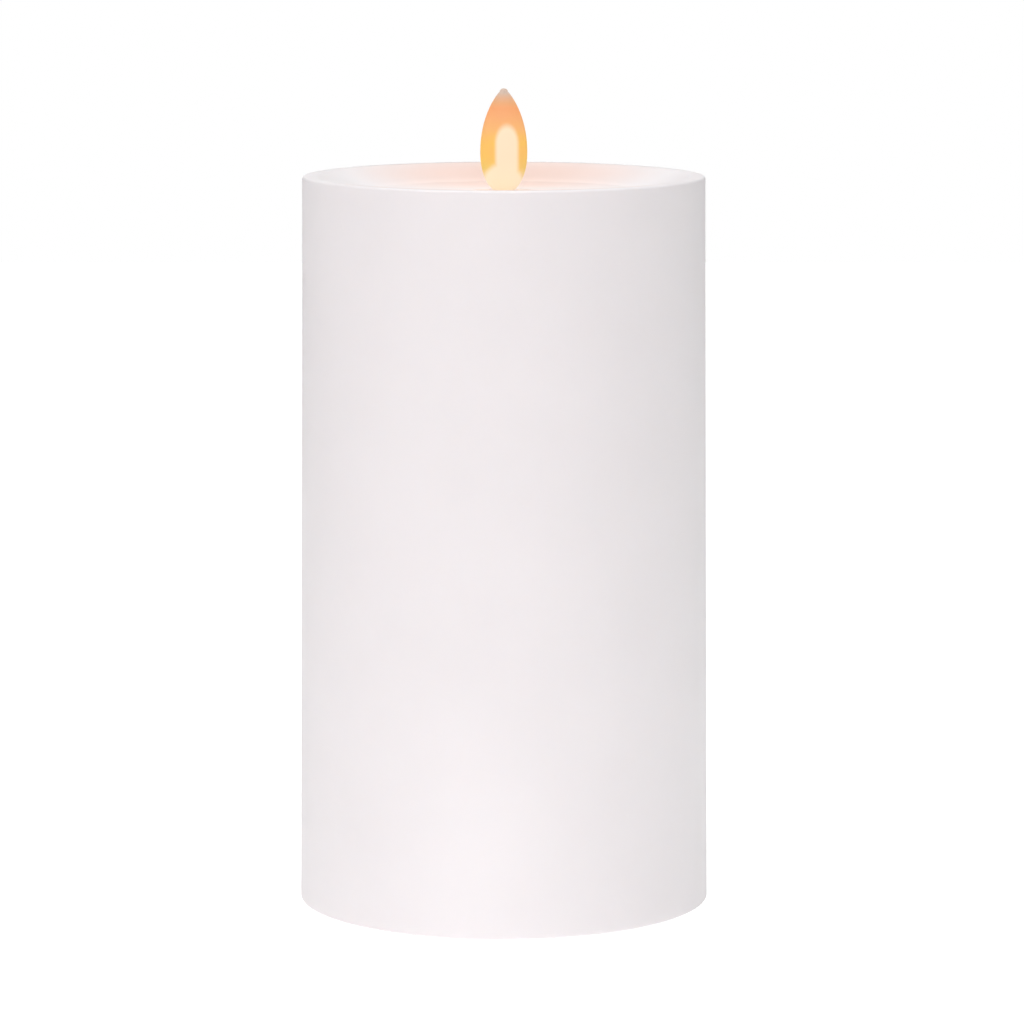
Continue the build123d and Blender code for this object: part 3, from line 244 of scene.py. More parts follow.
@dataclass(frozen=True)
class PaintedFlameLightPlastic(MouldedPlastic):
    """White plastic with painted light round the flame: the light from its two broad faces, as a warm tint and a glow.
    """

    # Colour of the flame's painted light on the slope inside the rim.
    warm: str = "EBC4B0"
    share: float = 0.75
    slope_mm: tuple[float, ...] = (0.0, 27.0, 156.3)
    slope_reach_mm: tuple[float, ...] = (34.0, 24.0, 5.0)
    pool_mm: tuple[float, ...] = (0.0, 14.0, 153.6)
    pool_reach_mm: tuple[float, ...] = (30.0, 26.0, 1.6)
    painted_glow_colour: str = "FFD9BE"
    painted_pool_glow: float = 0.13
    wall_mm: float = 42.0
    fade: tuple[float, float] = (0.2, 1.2)

    def nearness(
        self, tree: Tree, place: Socket, centre_mm: tuple[float, ...], reach_mm: tuple[float, ...], top: float
    ) -> Socket:
        """How strongly the flame's light reaches a place inside the rim.

        Args:
            tree: the material's node tree.
            place: object coordinates.
            centre_mm: where the light falls straight on, in front; it is the same behind.
            reach_mm: how far it spreads along each axis.
            top: the value at the centre.

        Returns:
            The top value in front of and behind the flame, fading to zero.
        """
        x = add_node(tree, "SeparateXYZ", {"Vector": place}, 0)
        y = add_node(tree, "Math", {0: x.node.outputs["Y"]}, operation="ABSOLUTE")
        folded = add_node(tree, "CombineXYZ", {"X": x, "Y": y, "Z": x.node.outputs["Z"]})
        away = add_node(tree, "VectorMath", {0: folded, 1: [c * MM for c in centre_mm]}, operation="SUBTRACT")
        sized = add_node(tree, "VectorMath", {0: away, 1: [per_size(r) for r in reach_mm]}, operation="MULTIPLY")
        distance = add_node(tree, "VectorMath", {0: sized}, 1, operation="LENGTH")
        levels = {"Value": distance, "From Min": self.fade[0], "From Max": self.fade[1]}
        levels |= {"To Min": top, "To Max": 0.0}
        near = add_node(tree, "MapRange", levels, interpolation_type="SMOOTHSTEP")
        flat = add_node(tree, "VectorMath", {0: place, 1: (1.0, 1.0, 0.0)}, operation="MULTIPLY")
        from_axis = add_node(tree, "VectorMath", {0: flat}, 1, operation="LENGTH")
        wall = {"Value": from_axis, "From Min": (self.wall_mm - 1) * MM, "From Max": self.wall_mm * MM}
        inside = add_node(tree, "MapRange", wall | {"To Min": 1.0, "To Max": 0.0})
        return add_node(tree, "Math", {0: near, 1: inside}, operation="MULTIPLY")

    def tint(self, tree: Tree, place: Socket) -> Socket:
        """The mottled white, turning to a painted warm tone, the flame's light, on the slope round the pool.

        Args:
            tree: the material's node tree.
            place: object coordinates.

        Returns:
            The colour.
        """
        plain = super().tint(tree, place)
        near = self.nearness(tree, place, self.slope_mm, self.slope_reach_mm, self.share)
        # Painted light: the flame's warm colour mixed into the plastic's own.
        return add_node(tree, "Mix", {0: near, 6: plain, 7: linear(self.warm)}, 2, data_type="RGBA")

    def glow(self, tree: Tree, place: Socket) -> dict:
        """Painted glow on the pool floor round the flame's foot, standing in for the lamp's and the flame's light on
        it.
        """
        # Painted light: the pool floor gives out light where the lamp and the flame would light it.
        strength = self.nearness(tree, place, self.pool_mm, self.pool_reach_mm, self.painted_pool_glow)
        return {"Emission Color": linear(self.painted_glow_colour), "Emission Strength": strength}


@dataclass(frozen=True)
class LitFlameFilm(Finish):
    """Translucent flame tab under the lamp's spot: a cream oval low down, amber round it, a grey unlit tip."""

    foot_mm: float = 154.0
    tip_mm: float = 176.5
    spot_mm: tuple[float, float] = (0.65, 164.3)
    spot_half_mm: tuple[float, float] = (2.4, 4.0)
    spot_edge: float = 0.24
    base_mm: tuple[float, float] = (-0.2, 154.3)
    base_half_mm: tuple[float, float] = (4.6, 6.0)
    base_edge: float = 0.15
    cream: str = "FFE9C9"
    hazy: str = "F6B183"
    glow: float = 0.6

    def arch(
        self, tree: Tree, place: Socket, centre_mm: tuple[float, float], half_mm: tuple[float, float], edge: float
    ) -> Socket:
        """A soft-edged patch of light with straight sides under a round top.

        Args:
            tree: the material's node tree.
            place: object coordinates.
            centre_mm: x of the middle, and z of where the round top begins.
            half_mm: its half-width, and how high the top rises.
            edge: share of the radius over which it fades.

        Returns:
            One inside the patch and zero outside.
        """
        middle = (centre_mm[0] * MM, 0, centre_mm[1] * MM)
        away = add_node(tree, "VectorMath", {0: place, 1: middle}, operation="SUBTRACT")
        side = add_node(tree, "SeparateXYZ", {"Vector": away}, 0)
        above = add_node(tree, "Math", {0: side.node.outputs["Z"], 1: 0.0}, operation="MAXIMUM")
        folded = add_node(tree, "CombineXYZ", {"X": side, "Z": above})
        scale = (per_size(half_mm[0]), 0, per_size(half_mm[1]))
        sized = add_node(tree, "VectorMath", {0: folded, 1: scale}, operation="MULTIPLY")
        distance = add_node(tree, "VectorMath", {0: sized}, 1, operation="LENGTH")
        levels = {"Value": distance, "From Min": 1 - edge, "From Max": 1 + edge, "To Min": 1.0, "To Max": 0.0}
        return add_node(tree, "MapRange", levels, interpolation_type="SMOOTHSTEP")

    def shade(self, tree: Tree, place: Socket) -> Socket:
        """Amber blade with the lamp's cream spot, glowing and a little glossy.

        Args:
            tree: the material's node tree.
            place: object coordinates.

        Returns:
            The shader socket.
        """
        z = add_node(tree, "SeparateXYZ", {"Vector": place}, 2)
        height = add_node(tree, "MapRange", {"Value": z, "From Min": self.foot_mm * MM, "From Max": self.tip_mm * MM})
        levels = (
            (0.1, "FBE3BC"), (0.18, "F4D596"), (0.25, "F1CD6E"), (0.35, "FBC967"), (0.47, "FCC865"), (0.55, "FCC46D"),
            (0.62, "F9BC78"), (0.71, "F9B478"), (0.81, "F6AA73"), (0.86, "EBAF7B"), (0.91, "E2B491"), (0.96, "D4BEAE"),
        )  # fmt: skip
        amber = add_node(tree, "ValToRGB", {"Fac": height}, stops=levels)
        spot = self.arch(tree, place, self.spot_mm, self.spot_half_mm, self.spot_edge)
        foot = self.arch(tree, place, self.base_mm, self.base_half_mm, self.base_edge)
        lit = add_node(tree, "Math", {0: spot, 1: foot}, operation="MAXIMUM")
        haze = patches(tree, place, 3.0, 0.0, 0.15)
        soft = add_node(tree, "Mix", {0: haze, 6: amber, 7: linear(self.hazy)}, 2, data_type="RGBA")
        colour = add_node(tree, "Mix", {0: lit, 6: soft, 7: linear(self.cream)}, 2, data_type="RGBA")
        dimmed = add_node(tree, "Mix", {0: 0.5, 6: colour, 7: linear("000000")}, 2, data_type="RGBA")
        inputs = {
            "Base Color": dimmed,
            "Roughness": 0.5,
            "IOR": 1.4,
            "Normal": grain(tree, place, 0.5, 0.01),
            "Emission Color": colour,
            "Emission Strength": self.glow,
        }
        return add_node(tree, "BsdfPrincipled", inputs)


@dataclass(frozen=True)
class PlatedMetal(Finish):
    """Drawn or pressed metal under thin plating: a bright base with drawing marks and dull patches."""

    colour: str
    other: str
    roughness: float = 0.3
    marks_mm: tuple[float, ...] = (0.25, 0.25, 0.25)

    def shade(self, tree: Tree, place: Socket) -> Socket:
        """Metal with plating haze in its colour and drawing marks in its normal.

        Args:
            tree: the material's node tree.
            place: object coordinates.

        Returns:
            The shader socket.
        """
        drawn = add_node(tree, "Mapping", {"Vector": place, "Scale": tuple(per_size(g) for g in self.marks_mm)})
        marks = add_node(tree, "TexNoise", {"Vector": drawn, "Scale": 1.0, "Detail": 3.0})
        inputs = {
            "Base Color": two_tone(tree, place, 4.0, self.colour, self.other),
            "Metallic": 1.0,
            "Roughness": patches(tree, place, 4.0, self.roughness - 0.06, self.roughness + 0.1),
            "Normal": add_node(tree, "Bump", {"Height": marks, "Distance": 0.01 * MM, "Strength": 0.5}),
        }
        return add_node(tree, "BsdfPrincipled", inputs)


@dataclass(frozen=True)
class WoundCopper(Finish):
    """Enamelled copper wire laid turn by turn: amber lacquer over copper, ridged at the wire's spacing, with painted
    shade in the grooves and a painted highlight on each turn.
    """

    pitch_mm: float = 0.35

    def shade(self, tree: Tree, place: Socket) -> Socket:
        """Copper with a ridge for each turn, painted dark in the grooves and bright on the crests as shade and
        highlight.

        Args:
            tree: the material's node tree.
            place: object coordinates.

        Returns:
            The shader socket.
        """
        # Real wire is about 0.1 mm thick. Its turns are drawn wider, so that they show.
        # A wave's band repeats each tau / 20 of a unit.
        scale = per_size(self.pitch_mm) * math.tau / 20
        turns = add_node(tree, "TexWave", {"Vector": place, "Scale": scale, "Distortion": 0.6}, 1, bands_direction="Z")
        # Painted shade and highlight: darkest in the grooves between turns, brightest on each turn's crest.
        painted_turn_shading = ((0, "6E2F12"), (0.45, "B5602C"), (1, "D98A4C"))
        inputs = {
            "Base Color": add_node(tree, "ValToRGB", {"Fac": turns}, stops=painted_turn_shading),
            "Metallic": 0.85,
            "Roughness": 0.28,
            "Normal": add_node(tree, "Bump", {"Height": turns, "Distance": 0.08 * MM, "Strength": 0.8}),
            "Coat Weight": 0.6,
            "Coat Roughness": 0.12,
        }
        return add_node(tree, "BsdfPrincipled", inputs)


@dataclass(frozen=True)
class Insulation(Finish):
    """Extruded PVC wire insulation: smooth and slightly glossy, with faint handling dust."""

    colour: str
    other: str

    def shade(self, tree: Tree, place: Socket) -> Socket:
        """Glossy coloured sleeve with faint dust.

        Args:
            tree: the material's node tree.
            place: object coordinates.

        Returns:
            The shader socket.
        """
        inputs = {
            "Base Color": two_tone(tree, place, 2.2, self.colour, self.other),
            "Roughness": patches(tree, place, 2.2, 0.3, 0.42),
            "Normal": grain(tree, place, 0.35, 0.015),
            "IOR": 1.53,
        }
        return add_node(tree, "BsdfPrincipled", inputs)


@dataclass(frozen=True)
class SoftRubber(Finish):
    """Die-cut rubber pad: dead matt, speckled with filler and a little dirty."""

    colour: str
    dirt: str

    def shade(self, tree: Tree, place: Socket) -> Socket:
        """Matt rubber with filler specks and scuffs.

        Args:
            tree: the material's node tree.
            place: object coordinates.

        Returns:
            The shader socket.
        """
        inputs = {
            "Base Color": two_tone(tree, place, 2.5, self.colour, self.dirt),
            "Roughness": patches(tree, place, 1.2, 0.76, 0.9),
            "Normal": grain(tree, place, 0.4, 0.05),
            "IOR": 1.5,
        }
        return add_node(tree, "BsdfPrincipled", inputs)


@dataclass(frozen=True)
class PrintedSleeve(Finish):
    """Shrunk PVC cell sleeve, gravure printed: a deep green field between pale ends, with one thin gold line."""

    nub_end_mm: float = 26.0
    length_mm: float = 46.0
    facing: int = 1
    pale: str = "DCDCD6"
    green: str = "1D4B45"
    gold: str = "DDB25A"
    speck: str = "0E2421"

    def shade(self, tree: Tree, place: Socket) -> Socket:
        """Glossy print whose bands follow the cell's length.

        Args:
            tree: the material's node tree.
            place: object coordinates.

        Returns:
            The shader socket.
        """
        y = add_node(tree, "SeparateXYZ", {"Vector": place}, 1)
        start = self.facing * self.nub_end_mm * MM
        reach = {"Value": y, "From Min": start, "From Max": start - self.facing * self.length_mm * MM}
        along = add_node(tree, "MapRange", reach)
        pale, green, gold = self.pale, self.green, self.gold
        bands = ((0, pale), (0.24, green), (0.27, gold), (0.285, green), (0.9, pale), (0.93, green))
        print_ink = add_node(tree, "ValToRGB", {"Fac": along}, stops=bands)
        print_ink.node.color_ramp.interpolation = "CONSTANT"
        specks = patches(tree, place, 0.3, 0.0, 0.16)
        inputs = {
            "Base Color": add_node(tree, "Mix", {0: specks, 6: print_ink, 7: linear(self.speck)}, 2, data_type="RGBA"),
            "Roughness": patches(tree, place, 6.0, 0.22, 0.32),
            "Normal": grain(tree, place, 5.0, 0.1),
            "IOR": 1.53,
        }
        return add_node(tree, "BsdfPrincipled", inputs)


@dataclass(frozen=True)
class SolderMask(Finish):
    """Green solder mask over copper: raised tracks, a glossy lacquer and tiny gold pads."""

    run_mm: float = 7.3
    step_mm: float = 1.7
    track_mm: float = 0.22
    pad_step_mm: float = 2.4
    bare: str = "0E4A26"
    raised: str = "1C7440"
    gold: str = "C7A255"

    def shade(self, tree: Tree, place: Socket) -> Socket:
        """Lacquered board with tracks in its height and colour.

        Args:
            tree: the material's node tree.
            place: object coordinates.

        Returns:
            The shader socket.
        """
        x = add_node(tree, "SeparateXYZ", {"Vector": place}, 0)
        flat = add_node(tree, "CombineXYZ", {"X": x.node.outputs["Z"], "Y": x})
        layout = {"Vector": flat, "Scale": per_size(1), "Brick Width": self.run_mm, "Row Height": self.step_mm}
        layout |= {"Mortar Size": self.track_mm, "Mortar Smooth": 0.2}
        track = add_node(tree, "TexBrick", layout, 1, offset=0.37, offset_frequency=3, squash=0.55, squash_frequency=2)
        dots = add_node(tree, "TexVoronoi", {"Vector": place, "Scale": per_size(self.pad_step_mm)}, feature="F1")
        pad = add_node(tree, "MapRange", {"Value": dots, "From Min": 0.13, "From Max": 0.1})
        lacquer = {0: track, 6: linear(self.bare), 7: linear(self.raised)}
        green = add_node(tree, "Mix", lacquer, 2, data_type="RGBA")
        inputs = {
            "Base Color": add_node(tree, "Mix", {0: pad, 6: green, 7: linear(self.gold)}, 2, data_type="RGBA"),
            "Metallic": pad,
            "Roughness": patches(tree, place, 5.0, 0.2, 0.32),
            "Normal": add_node(tree, "Bump", {"Height": track, "Distance": 0.04 * MM, "Strength": 0.7}),
        }
        return add_node(tree, "BsdfPrincipled", inputs)


@dataclass(frozen=True)
class PinnedPackage(Finish):
    """Moulded package whose legs are tinned metal, told from the body by how far they stand out along one axis."""

    colour: str
    other: str
    axis: int = 0
    centre_mm: float = 0.0
    half_mm: float = 1.95
    tin: str = "D8D8D6"
    dull_tin: str = "B4B4B2"

    def shade(self, tree: Tree, place: Socket) -> Socket:
        """Matt package in the middle and bright tinned legs beyond it.

        Args:
            tree: the material's node tree.
            place: object coordinates.

        Returns:
            The shader socket.
        """
        along = add_node(tree, "SeparateXYZ", {"Vector": place}, self.axis)
        off = add_node(tree, "Math", {0: along, 1: self.centre_mm * MM}, operation="SUBTRACT")
        far = add_node(tree, "Math", {0: off}, operation="ABSOLUTE")
        leg = add_node(tree, "Math", {0: far, 1: self.half_mm * MM}, operation="GREATER_THAN")
        dark = two_tone(tree, place, 0.25, self.colour, self.other)
        bright = two_tone(tree, place, 0.6, self.tin, self.dull_tin)
        inputs = {
            "Base Color": add_node(tree, "Mix", {0: leg, 6: dark, 7: bright}, 2, data_type="RGBA"),
            "Metallic": leg,
            "Roughness": add_node(tree, "MapRange", {"Value": leg, "To Min": 0.62, "To Max": 0.3}),
            "Normal": grain(tree, place, 0.25, 0.02),
        }
        return add_node(tree, "BsdfPrincipled", inputs)


@dataclass(frozen=True)
class EpoxyLens(Finish):
    """Cast clear epoxy round a lit chip: glassy, warm inside and brightest at the dome."""

    tip_mm: tuple[float, ...] = (0.0, -6.6, 150.6)
    lit_mm: tuple[float, float] = (0.5, 7.0)
    glow: tuple[float, float] = (1.6, 0.25)

    def shade(self, tree: Tree, place: Socket) -> Socket:
        """Clear lens with its lit core glowing through.

        Args:
            tree: the material's node tree.
            place: object coordinates.

        Returns:
            The shader socket.
        """
        tip = [t * MM for t in self.tip_mm]
        away = add_node(tree, "VectorMath", {0: place, 1: tip}, 1, operation="DISTANCE")
        reach = {"Value": away, "From Min": self.lit_mm[0] * MM, "From Max": self.lit_mm[1] * MM}
        reach |= {"To Min": self.glow[0], "To Max": self.glow[1]}
        inputs = {
            "Base Color": two_tone(tree, place, 1.5, "FFF4DE", "FFE3B4"),
            "Roughness": 0.06,
            "IOR": 1.54,
            "Transmission Weight": 0.35,
            "Emission Color": linear("FFD798"),
            "Emission Strength": add_node(tree, "MapRange", reach),
        }
        return add_node(tree, "BsdfPrincipled", inputs)


@dataclass(frozen=True)
class LightTable(Finish):
    """Opal acrylic sheet lit from below: white all over, with the faintest cloud, and brighter at its margins."""

    strength: float = 0.7
    margin_strength: float = 1.0
    margin_m: tuple[float, float] = (0.5, 1.3)

    def shade(self, tree: Tree, place: Socket) -> Socket:
        """Matt opal white that gives out its own light.

        Args:
            tree: the material's node tree.
            place: object coordinates.

        Returns:
            The shader socket.
        """
        away = add_node(tree, "VectorMath", {0: place}, 1, operation="LENGTH")
        levels = {"Value": away, "From Min": self.margin_m[0], "From Max": self.margin_m[1]}
        levels |= {"To Min": self.strength, "To Max": self.margin_strength}
        inputs = {
            "Base Color": two_tone(tree, place, 300.0, "E7E7E7", "E4E4E5"),
            "Roughness": 0.9,
            "Emission Color": linear("FFFFFF"),
            "Emission Strength": add_node(tree, "MapRange", levels),
        }
        return add_node(tree, "BsdfPrincipled", inputs)


# The real grain of an eroded mould, and the marks of drawn wire, are finer than a tenth of a millimetre. They are drawn
# a few times coarser here, so that they show.
# Shell, white ABS from an eroded mould: dead matt, with a soft waxy depth at its edges. Round the flame it carries
# painted light: a warm tint on the slope and a glow on the pool floor.
WAX_WHITE_ABS = PaintedFlameLightPlastic("wax white ABS", "F4F1F2", "F2EFF0", 0.56, 0.7, 0.02, 30.0, 0.12)
# Collar, the same resin from a finer mould: creamier, a colour that is painted light, the lamp's light that soaks into
# it, and with a stronger painted glow round the flame's foot.
COLLAR_ABS = PaintedFlameLightPlastic("collar white ABS", "F6F0EA", "F1EBE4", 0.5, 0.5, 0.02, 8.0, 0.15, painted_pool_glow=0.22)
# Base and door, the same resin from a coarser mould: a touch greyer and drier.
BASE_ABS = MouldedPlastic("grained white ABS", "EDEBE9", "E9E7E5", 0.62, 0.9, 0.05, 9.0)
# Latch, white ABS rubbed by fingers: a little smoother and dirtier than the door.
LATCH_ABS = MouldedPlastic("latch white ABS", "EFEDEA", "E3E0DD", 0.5, 0.6, 0.03, 5.0)
# Movement case, black ABS from a plain mould: nearly black, with a soft broad sheen.
MOVEMENT_ABS = MouldedPlastic("black ABS", "1B1B1D", "242427", 0.5, 0.5, 0.03, 9.0)
# Switch knob, moulded black nylon: blacker and slicker than the case.
KNOB_NYLON = MouldedPlastic("black nylon", "161617", "232326", 0.38, 0.4, 0.02, 3.0)
# Coil bobbin, undyed nylon: a milky bone colour that light enters.
BOBBIN_NYLON = MouldedPlastic("natural nylon", "E6E0D2", "DCD4C2", 0.4, 0.5, 0.02, 5.0, 0.2)
# Connector and plug, nylon dyed ivory: denser than the bobbin, with small glossy edges.
PLUG_NYLON = MouldedPlastic("ivory nylon", "EAE4D4", "DFD7C3", 0.42, 0.5, 0.02, 3.0, 0.1)
# Capacitor, shrunk PVC sleeve: deep blue and rather glossy.
CAPACITOR_SLEEVE = MouldedPlastic("capacitor PVC sleeve", "20283C", "2B3550", 0.3, 0.4, 0.01, 3.0)
# Resistors, glazed film on alumina with tinned ends: dark, with greyer patches here and there.
CHIP_CERAMIC = MouldedPlastic("tinned alumina chip", "2A2A2C", "5A5A5C", 0.45, 0.3, 0.02, 0.8)
# Screws and switch frame, zinc-plated steel: a cool and slightly cloudy grey.
ZINC_STEEL = PlatedMetal("zinc-plated steel", "C3C7CC", "A9ADB3", 0.34)
# Contacts, springs and the flame's wire, nickel-plated steel: brighter and cleaner, streaked along the drawing.
NICKEL_STEEL = PlatedMetal("nickel-plated steel", "D6D3CC", "BDB9B1", 0.24, (0.12, 0.12, 1.5))
# Cell ends, deep-drawn plated can: bright, with marks that run along the cell.
CELL_CAN = PlatedMetal("drawn cell can", "D2D1CD", "B5B4B0", 0.28, (0.15, 2.0, 0.15))
# Flame's magnet, nickel-plated: the smoothest and most mirror-like metal here.
MAGNET_NICKEL = PlatedMetal("nickel-plated magnet", "D9D7D2", "C2BFB8", 0.14)
# Lamp's legs, tinned copper: soft, pale and a little dull.
TINNED_WIRE = PlatedMetal("tinned copper wire", "DADAD8", "BFBFBC", 0.3)
# Solder, tin that froze from a drop: very bright, with a slightly frosted skin.
SOLDER = PlatedMetal("tin solder", "E2E2E0", "C6C6C4", 0.22, (0.5, 0.5, 0.5))
# Winding and its leads, enamelled copper: warm orange metal under clear lacquer, with painted shade between the turns
# and a painted highlight on them.
COIL_WIRE = WoundCopper("enamelled copper")
# Feet, die-cut rubber: a dead grey that picks up dirt.
PAD_RUBBER = SoftRubber("grey rubber pad", "A6A5A3", "7E7C79")
# Leads, extruded PVC: even strong colours with a slick highlight along the wire.
BLACK_PVC = Insulation("black PVC wire", "141414", "2A2A2A")
RED_PVC = Insulation("red PVC wire", "A81512", "C23A30")
WHITE_PVC = Insulation("white PVC wire", "E8E7E3", "DBD9D4")
YELLOW_PVC = Insulation("yellow PVC wire", "D9A81E", "E8C24C")
# Driver board, glass fibre under green solder mask: glossy, with its tracks showing lighter.
BOARD = SolderMask("green solder mask")
# Table, opal acrylic lit from below: a floor with no edge, no shine and no shadow.
TABLE = LightTable("opal light table")


# ---------------------------------------------------------------- pieces
def node(name: str) -> bpy.types.Object:
    """The CAD node of that name."""
    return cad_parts[name]


def middle_mm(name: str, axis: int) -> float:
    """Middle of a CAD node along one axis, in millimetres."""
    low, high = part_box(name)
    return (low[axis] + high[axis]) / 2 / MM


def add_piece(name: str, shape: bmesh.types.BMesh, finish: Finish) -> bpy.types.Object:
    """Turns a finished shape into a piece that rides the candle's body.

    Args:
        name: the piece's name.
        shape: its mesh in metres, in place; it is freed here.
        finish: the finish laid on it.

    Returns:
        The piece.
    """
    bmesh.ops.remove_doubles(shape, verts=shape.verts, dist=1e-6)
    bmesh.ops.recalc_face_normals(shape, faces=shape.faces)
    for face in shape.faces:
        face.smooth = True
    mesh = bpy.data.meshes.new(name)
    shape.to_mesh(mesh)
    shape.free()
    piece = bpy.data.objects.new(name, mesh)
    bpy.context.scene.collection.objects.link(piece)
    finish.dress(piece)
    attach(piece, CANDLE)
    log.info("%s: %d faces", name, len(mesh.polygons))
    return piece


def turn_profile(shape: bmesh.types.BMesh, profile_mm: list[tuple], steps: int, place: Matrix) -> None:
    """Spins a profile about Z into a closed skin and puts it in place.

    Args:
        shape: the mesh that the skin is added to.
        profile_mm: (radius, height) points; the outline is open if both its ends lie on the axis.
        steps: number of faces round the axis.
        place: where the turned shape goes, in metres.
    """
    before = set(shape.verts)
    points = [shape.verts.new((r * MM, 0.0, z * MM)) for r, z in profile_mm]
    pairs = list(zip(points, points[1:]))
    if profile_mm[0][0] > 0:
        pairs.append((points[-1], points[0]))
    edges = [shape.edges.new(pair) for pair in pairs]
    turn = {"axis": (0, 0, 1), "cent": (0, 0, 0), "angle": math.tau, "steps": steps, "use_merge": True}
    bmesh.ops.spin(shape, geom=points + edges, **turn)
    bmesh.ops.transform(shape, matrix=place, verts=[vert for vert in shape.verts if vert not in before])


# ---------------------------------------------------------------- sub-assemblies
@dataclass
class Body:
    """The shell, its flame collar and the base under it."""

    def build(self) -> None:
        """Lays the finishes on the shell, the base and what stands on the table."""
        WAX_WHITE_ABS.dress(node("outer_shell"))
        COLLAR_ABS.dress(node("flame_collar"))
        BASE_ABS.dress(node("base_plate"), node("battery_door"))
        LATCH_ABS.dress(node("door_latch"))
        PAD_RUBBER.dress(node("base_feet"))
        ZINC_STEEL.dress(node("base_screws"))


@dataclass
class Flame:
    """The swinging tab, its magnet and the wire it hangs on."""

    def build(self) -> None:
        """Lays the lit film on the tab and bright metal on what carries it."""
        # Die-cut PET film, frosted: it takes the lamp's spot like a screen and lets it glow through.
        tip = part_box("flame_tab")[1].z / MM
        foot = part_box("flame_collar")[1].z / MM
        LitFlameFilm("lit PET flame film", foot, tip).dress(node("flame_tab"))
        MAGNET_NICKEL.dress(node("flame_magnet"))
        NICKEL_STEEL.dress(node("support_wire"))


@dataclass
class Movement:
    """The case under the ceiling with its lamp, coil and driver board."""

    chip_half_mm: float = 1.96
    transistor_half_mm: float = 0.71

    def build(self) -> None:
        """Lays the finishes on the case and everything fixed in or on it."""
        MOVEMENT_ABS.dress(node("mech_housing_front"), node("mech_housing_rear"))
        for name in ("housing_screws", "ceiling_screws", "board_screws"):
            ZINC_STEEL.dress(node(name))
        # Cast epoxy round a lit chip: a clear warm bead, brightest at its dome.
        EpoxyLens("lit epoxy lens").dress(node("led_emitter"))
        TINNED_WIRE.dress(node("led_leads"))
        RED_PVC.dress(node("led_wires"))
        BOBBIN_NYLON.dress(node("coil_bobbin"))
        COIL_WIRE.dress(node("coil_winding"), node("coil_leads"))
        BOARD.dress(node("driver_board"))
        chip = middle_mm("driver_chip", 0)
        # Transfer-moulded epoxy with tinned legs: matt near-black blocks between bright dots.
        chip_epoxy = PinnedPackage("epoxy chip package", "101011", "1C1C1E", 0, chip, self.chip_half_mm)
        chip_epoxy.dress(node("driver_chip"))
        pair = middle_mm("board_transistors", 0)
        small_epoxy = PinnedPackage("epoxy transistor package", "111112", "1E1E20", 0, pair, self.transistor_half_mm)
        small_epoxy.dress(node("board_transistors"))
        CHIP_CERAMIC.dress(node("board_resistors"))
        CAPACITOR_SLEEVE.dress(node("board_capacitor"))
        PLUG_NYLON.dress(node("board_connector"), node("lead_plug"))


@dataclass
class ShrunkSleeve:
    """The printed sleeve shrunk on a cell, thinner at its lips where it was pulled over the can's shoulders."""

    cell: Cell
    wall_mm: float = 0.24
    lip_mm: float = 1.6
    ripple_mm: float = 0.05
    ripples: int = 14
    rounds: int = 96
    lip_drops_mm: tuple[float, ...] = (0.16, 0.07, 0.02)
    lip_edge_mm: float = 0.12

    def profile(self, outer: float, length: float) -> list[tuple]:
        """Half of the sleeve's section.

        Args:
            outer: outer radius in millimetres.
            length: length in millimetres.

        Returns:
            (radius, height) points, up the outside and down the inside.
        """
        inner = outer - self.wall_mm
        half, lip, edge = length / 2, self.lip_mm, self.lip_edge_mm
        end, bend, shoulder = [outer - drop for drop in self.lip_drops_mm]
        outside = [(end, -half), (bend, -half + edge), (shoulder, -half + lip / 2)]
        outside += [(outer, -half + lip), (outer, -half / 3), (outer, half / 3), (outer, half - lip)]
        outside += [(shoulder, half - lip / 2), (bend, half - edge), (end, half)]
        return outside + [(inner, half), (inner, half / 3), (inner, -half / 3), (inner, -half)]

    def build(self) -> None:
        """Turns the sleeve, pulls shallow ripples into its lips and puts it in the CAD sleeve's place."""
        name = f"battery_sleeve_{self.cell.side}"
        low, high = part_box(name)
        centre = (low + high) / 2
        outer, length = (high.x - low.x) / 2 / MM, (high.y - low.y) / MM
        shape = bmesh.new()
        turn_profile(shape, self.profile(outer, length), self.rounds, Matrix.Identity(4))
        for vert in shape.verts:
            near_end = max(0.0, 1 - (length / 2 * MM - abs(vert.co.z)) / (2 * self.lip_mm * MM))
            if vert.co.xy.length > (outer - self.wall_mm / 2) * MM:
                around = math.atan2(vert.co.y, vert.co.x)
                pull = (1 + math.sin(self.ripples * around)) / 2 * near_end * self.ripple_mm * MM
                vert.co.xy *= 1 - pull / vert.co.xy.length
        lay_down = Matrix.Translation(centre) @ Matrix.Rotation(math.pi / 2, 4, "X")
        bmesh.ops.transform(shape, matrix=lay_down, verts=shape.verts)
        end = (high.y if self.cell is Cell.LEFT else -low.y) / MM
        # Gravure-printed PVC shrunk tight: glossy green with pale ends, rippled at its lips.
        finish = PrintedSleeve(f"printed PVC sleeve {self.cell.side}", end, length, self.cell.value)
        piece = add_piece(f"shrunk_sleeve_{self.cell.side}", shape, finish)
        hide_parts(name)


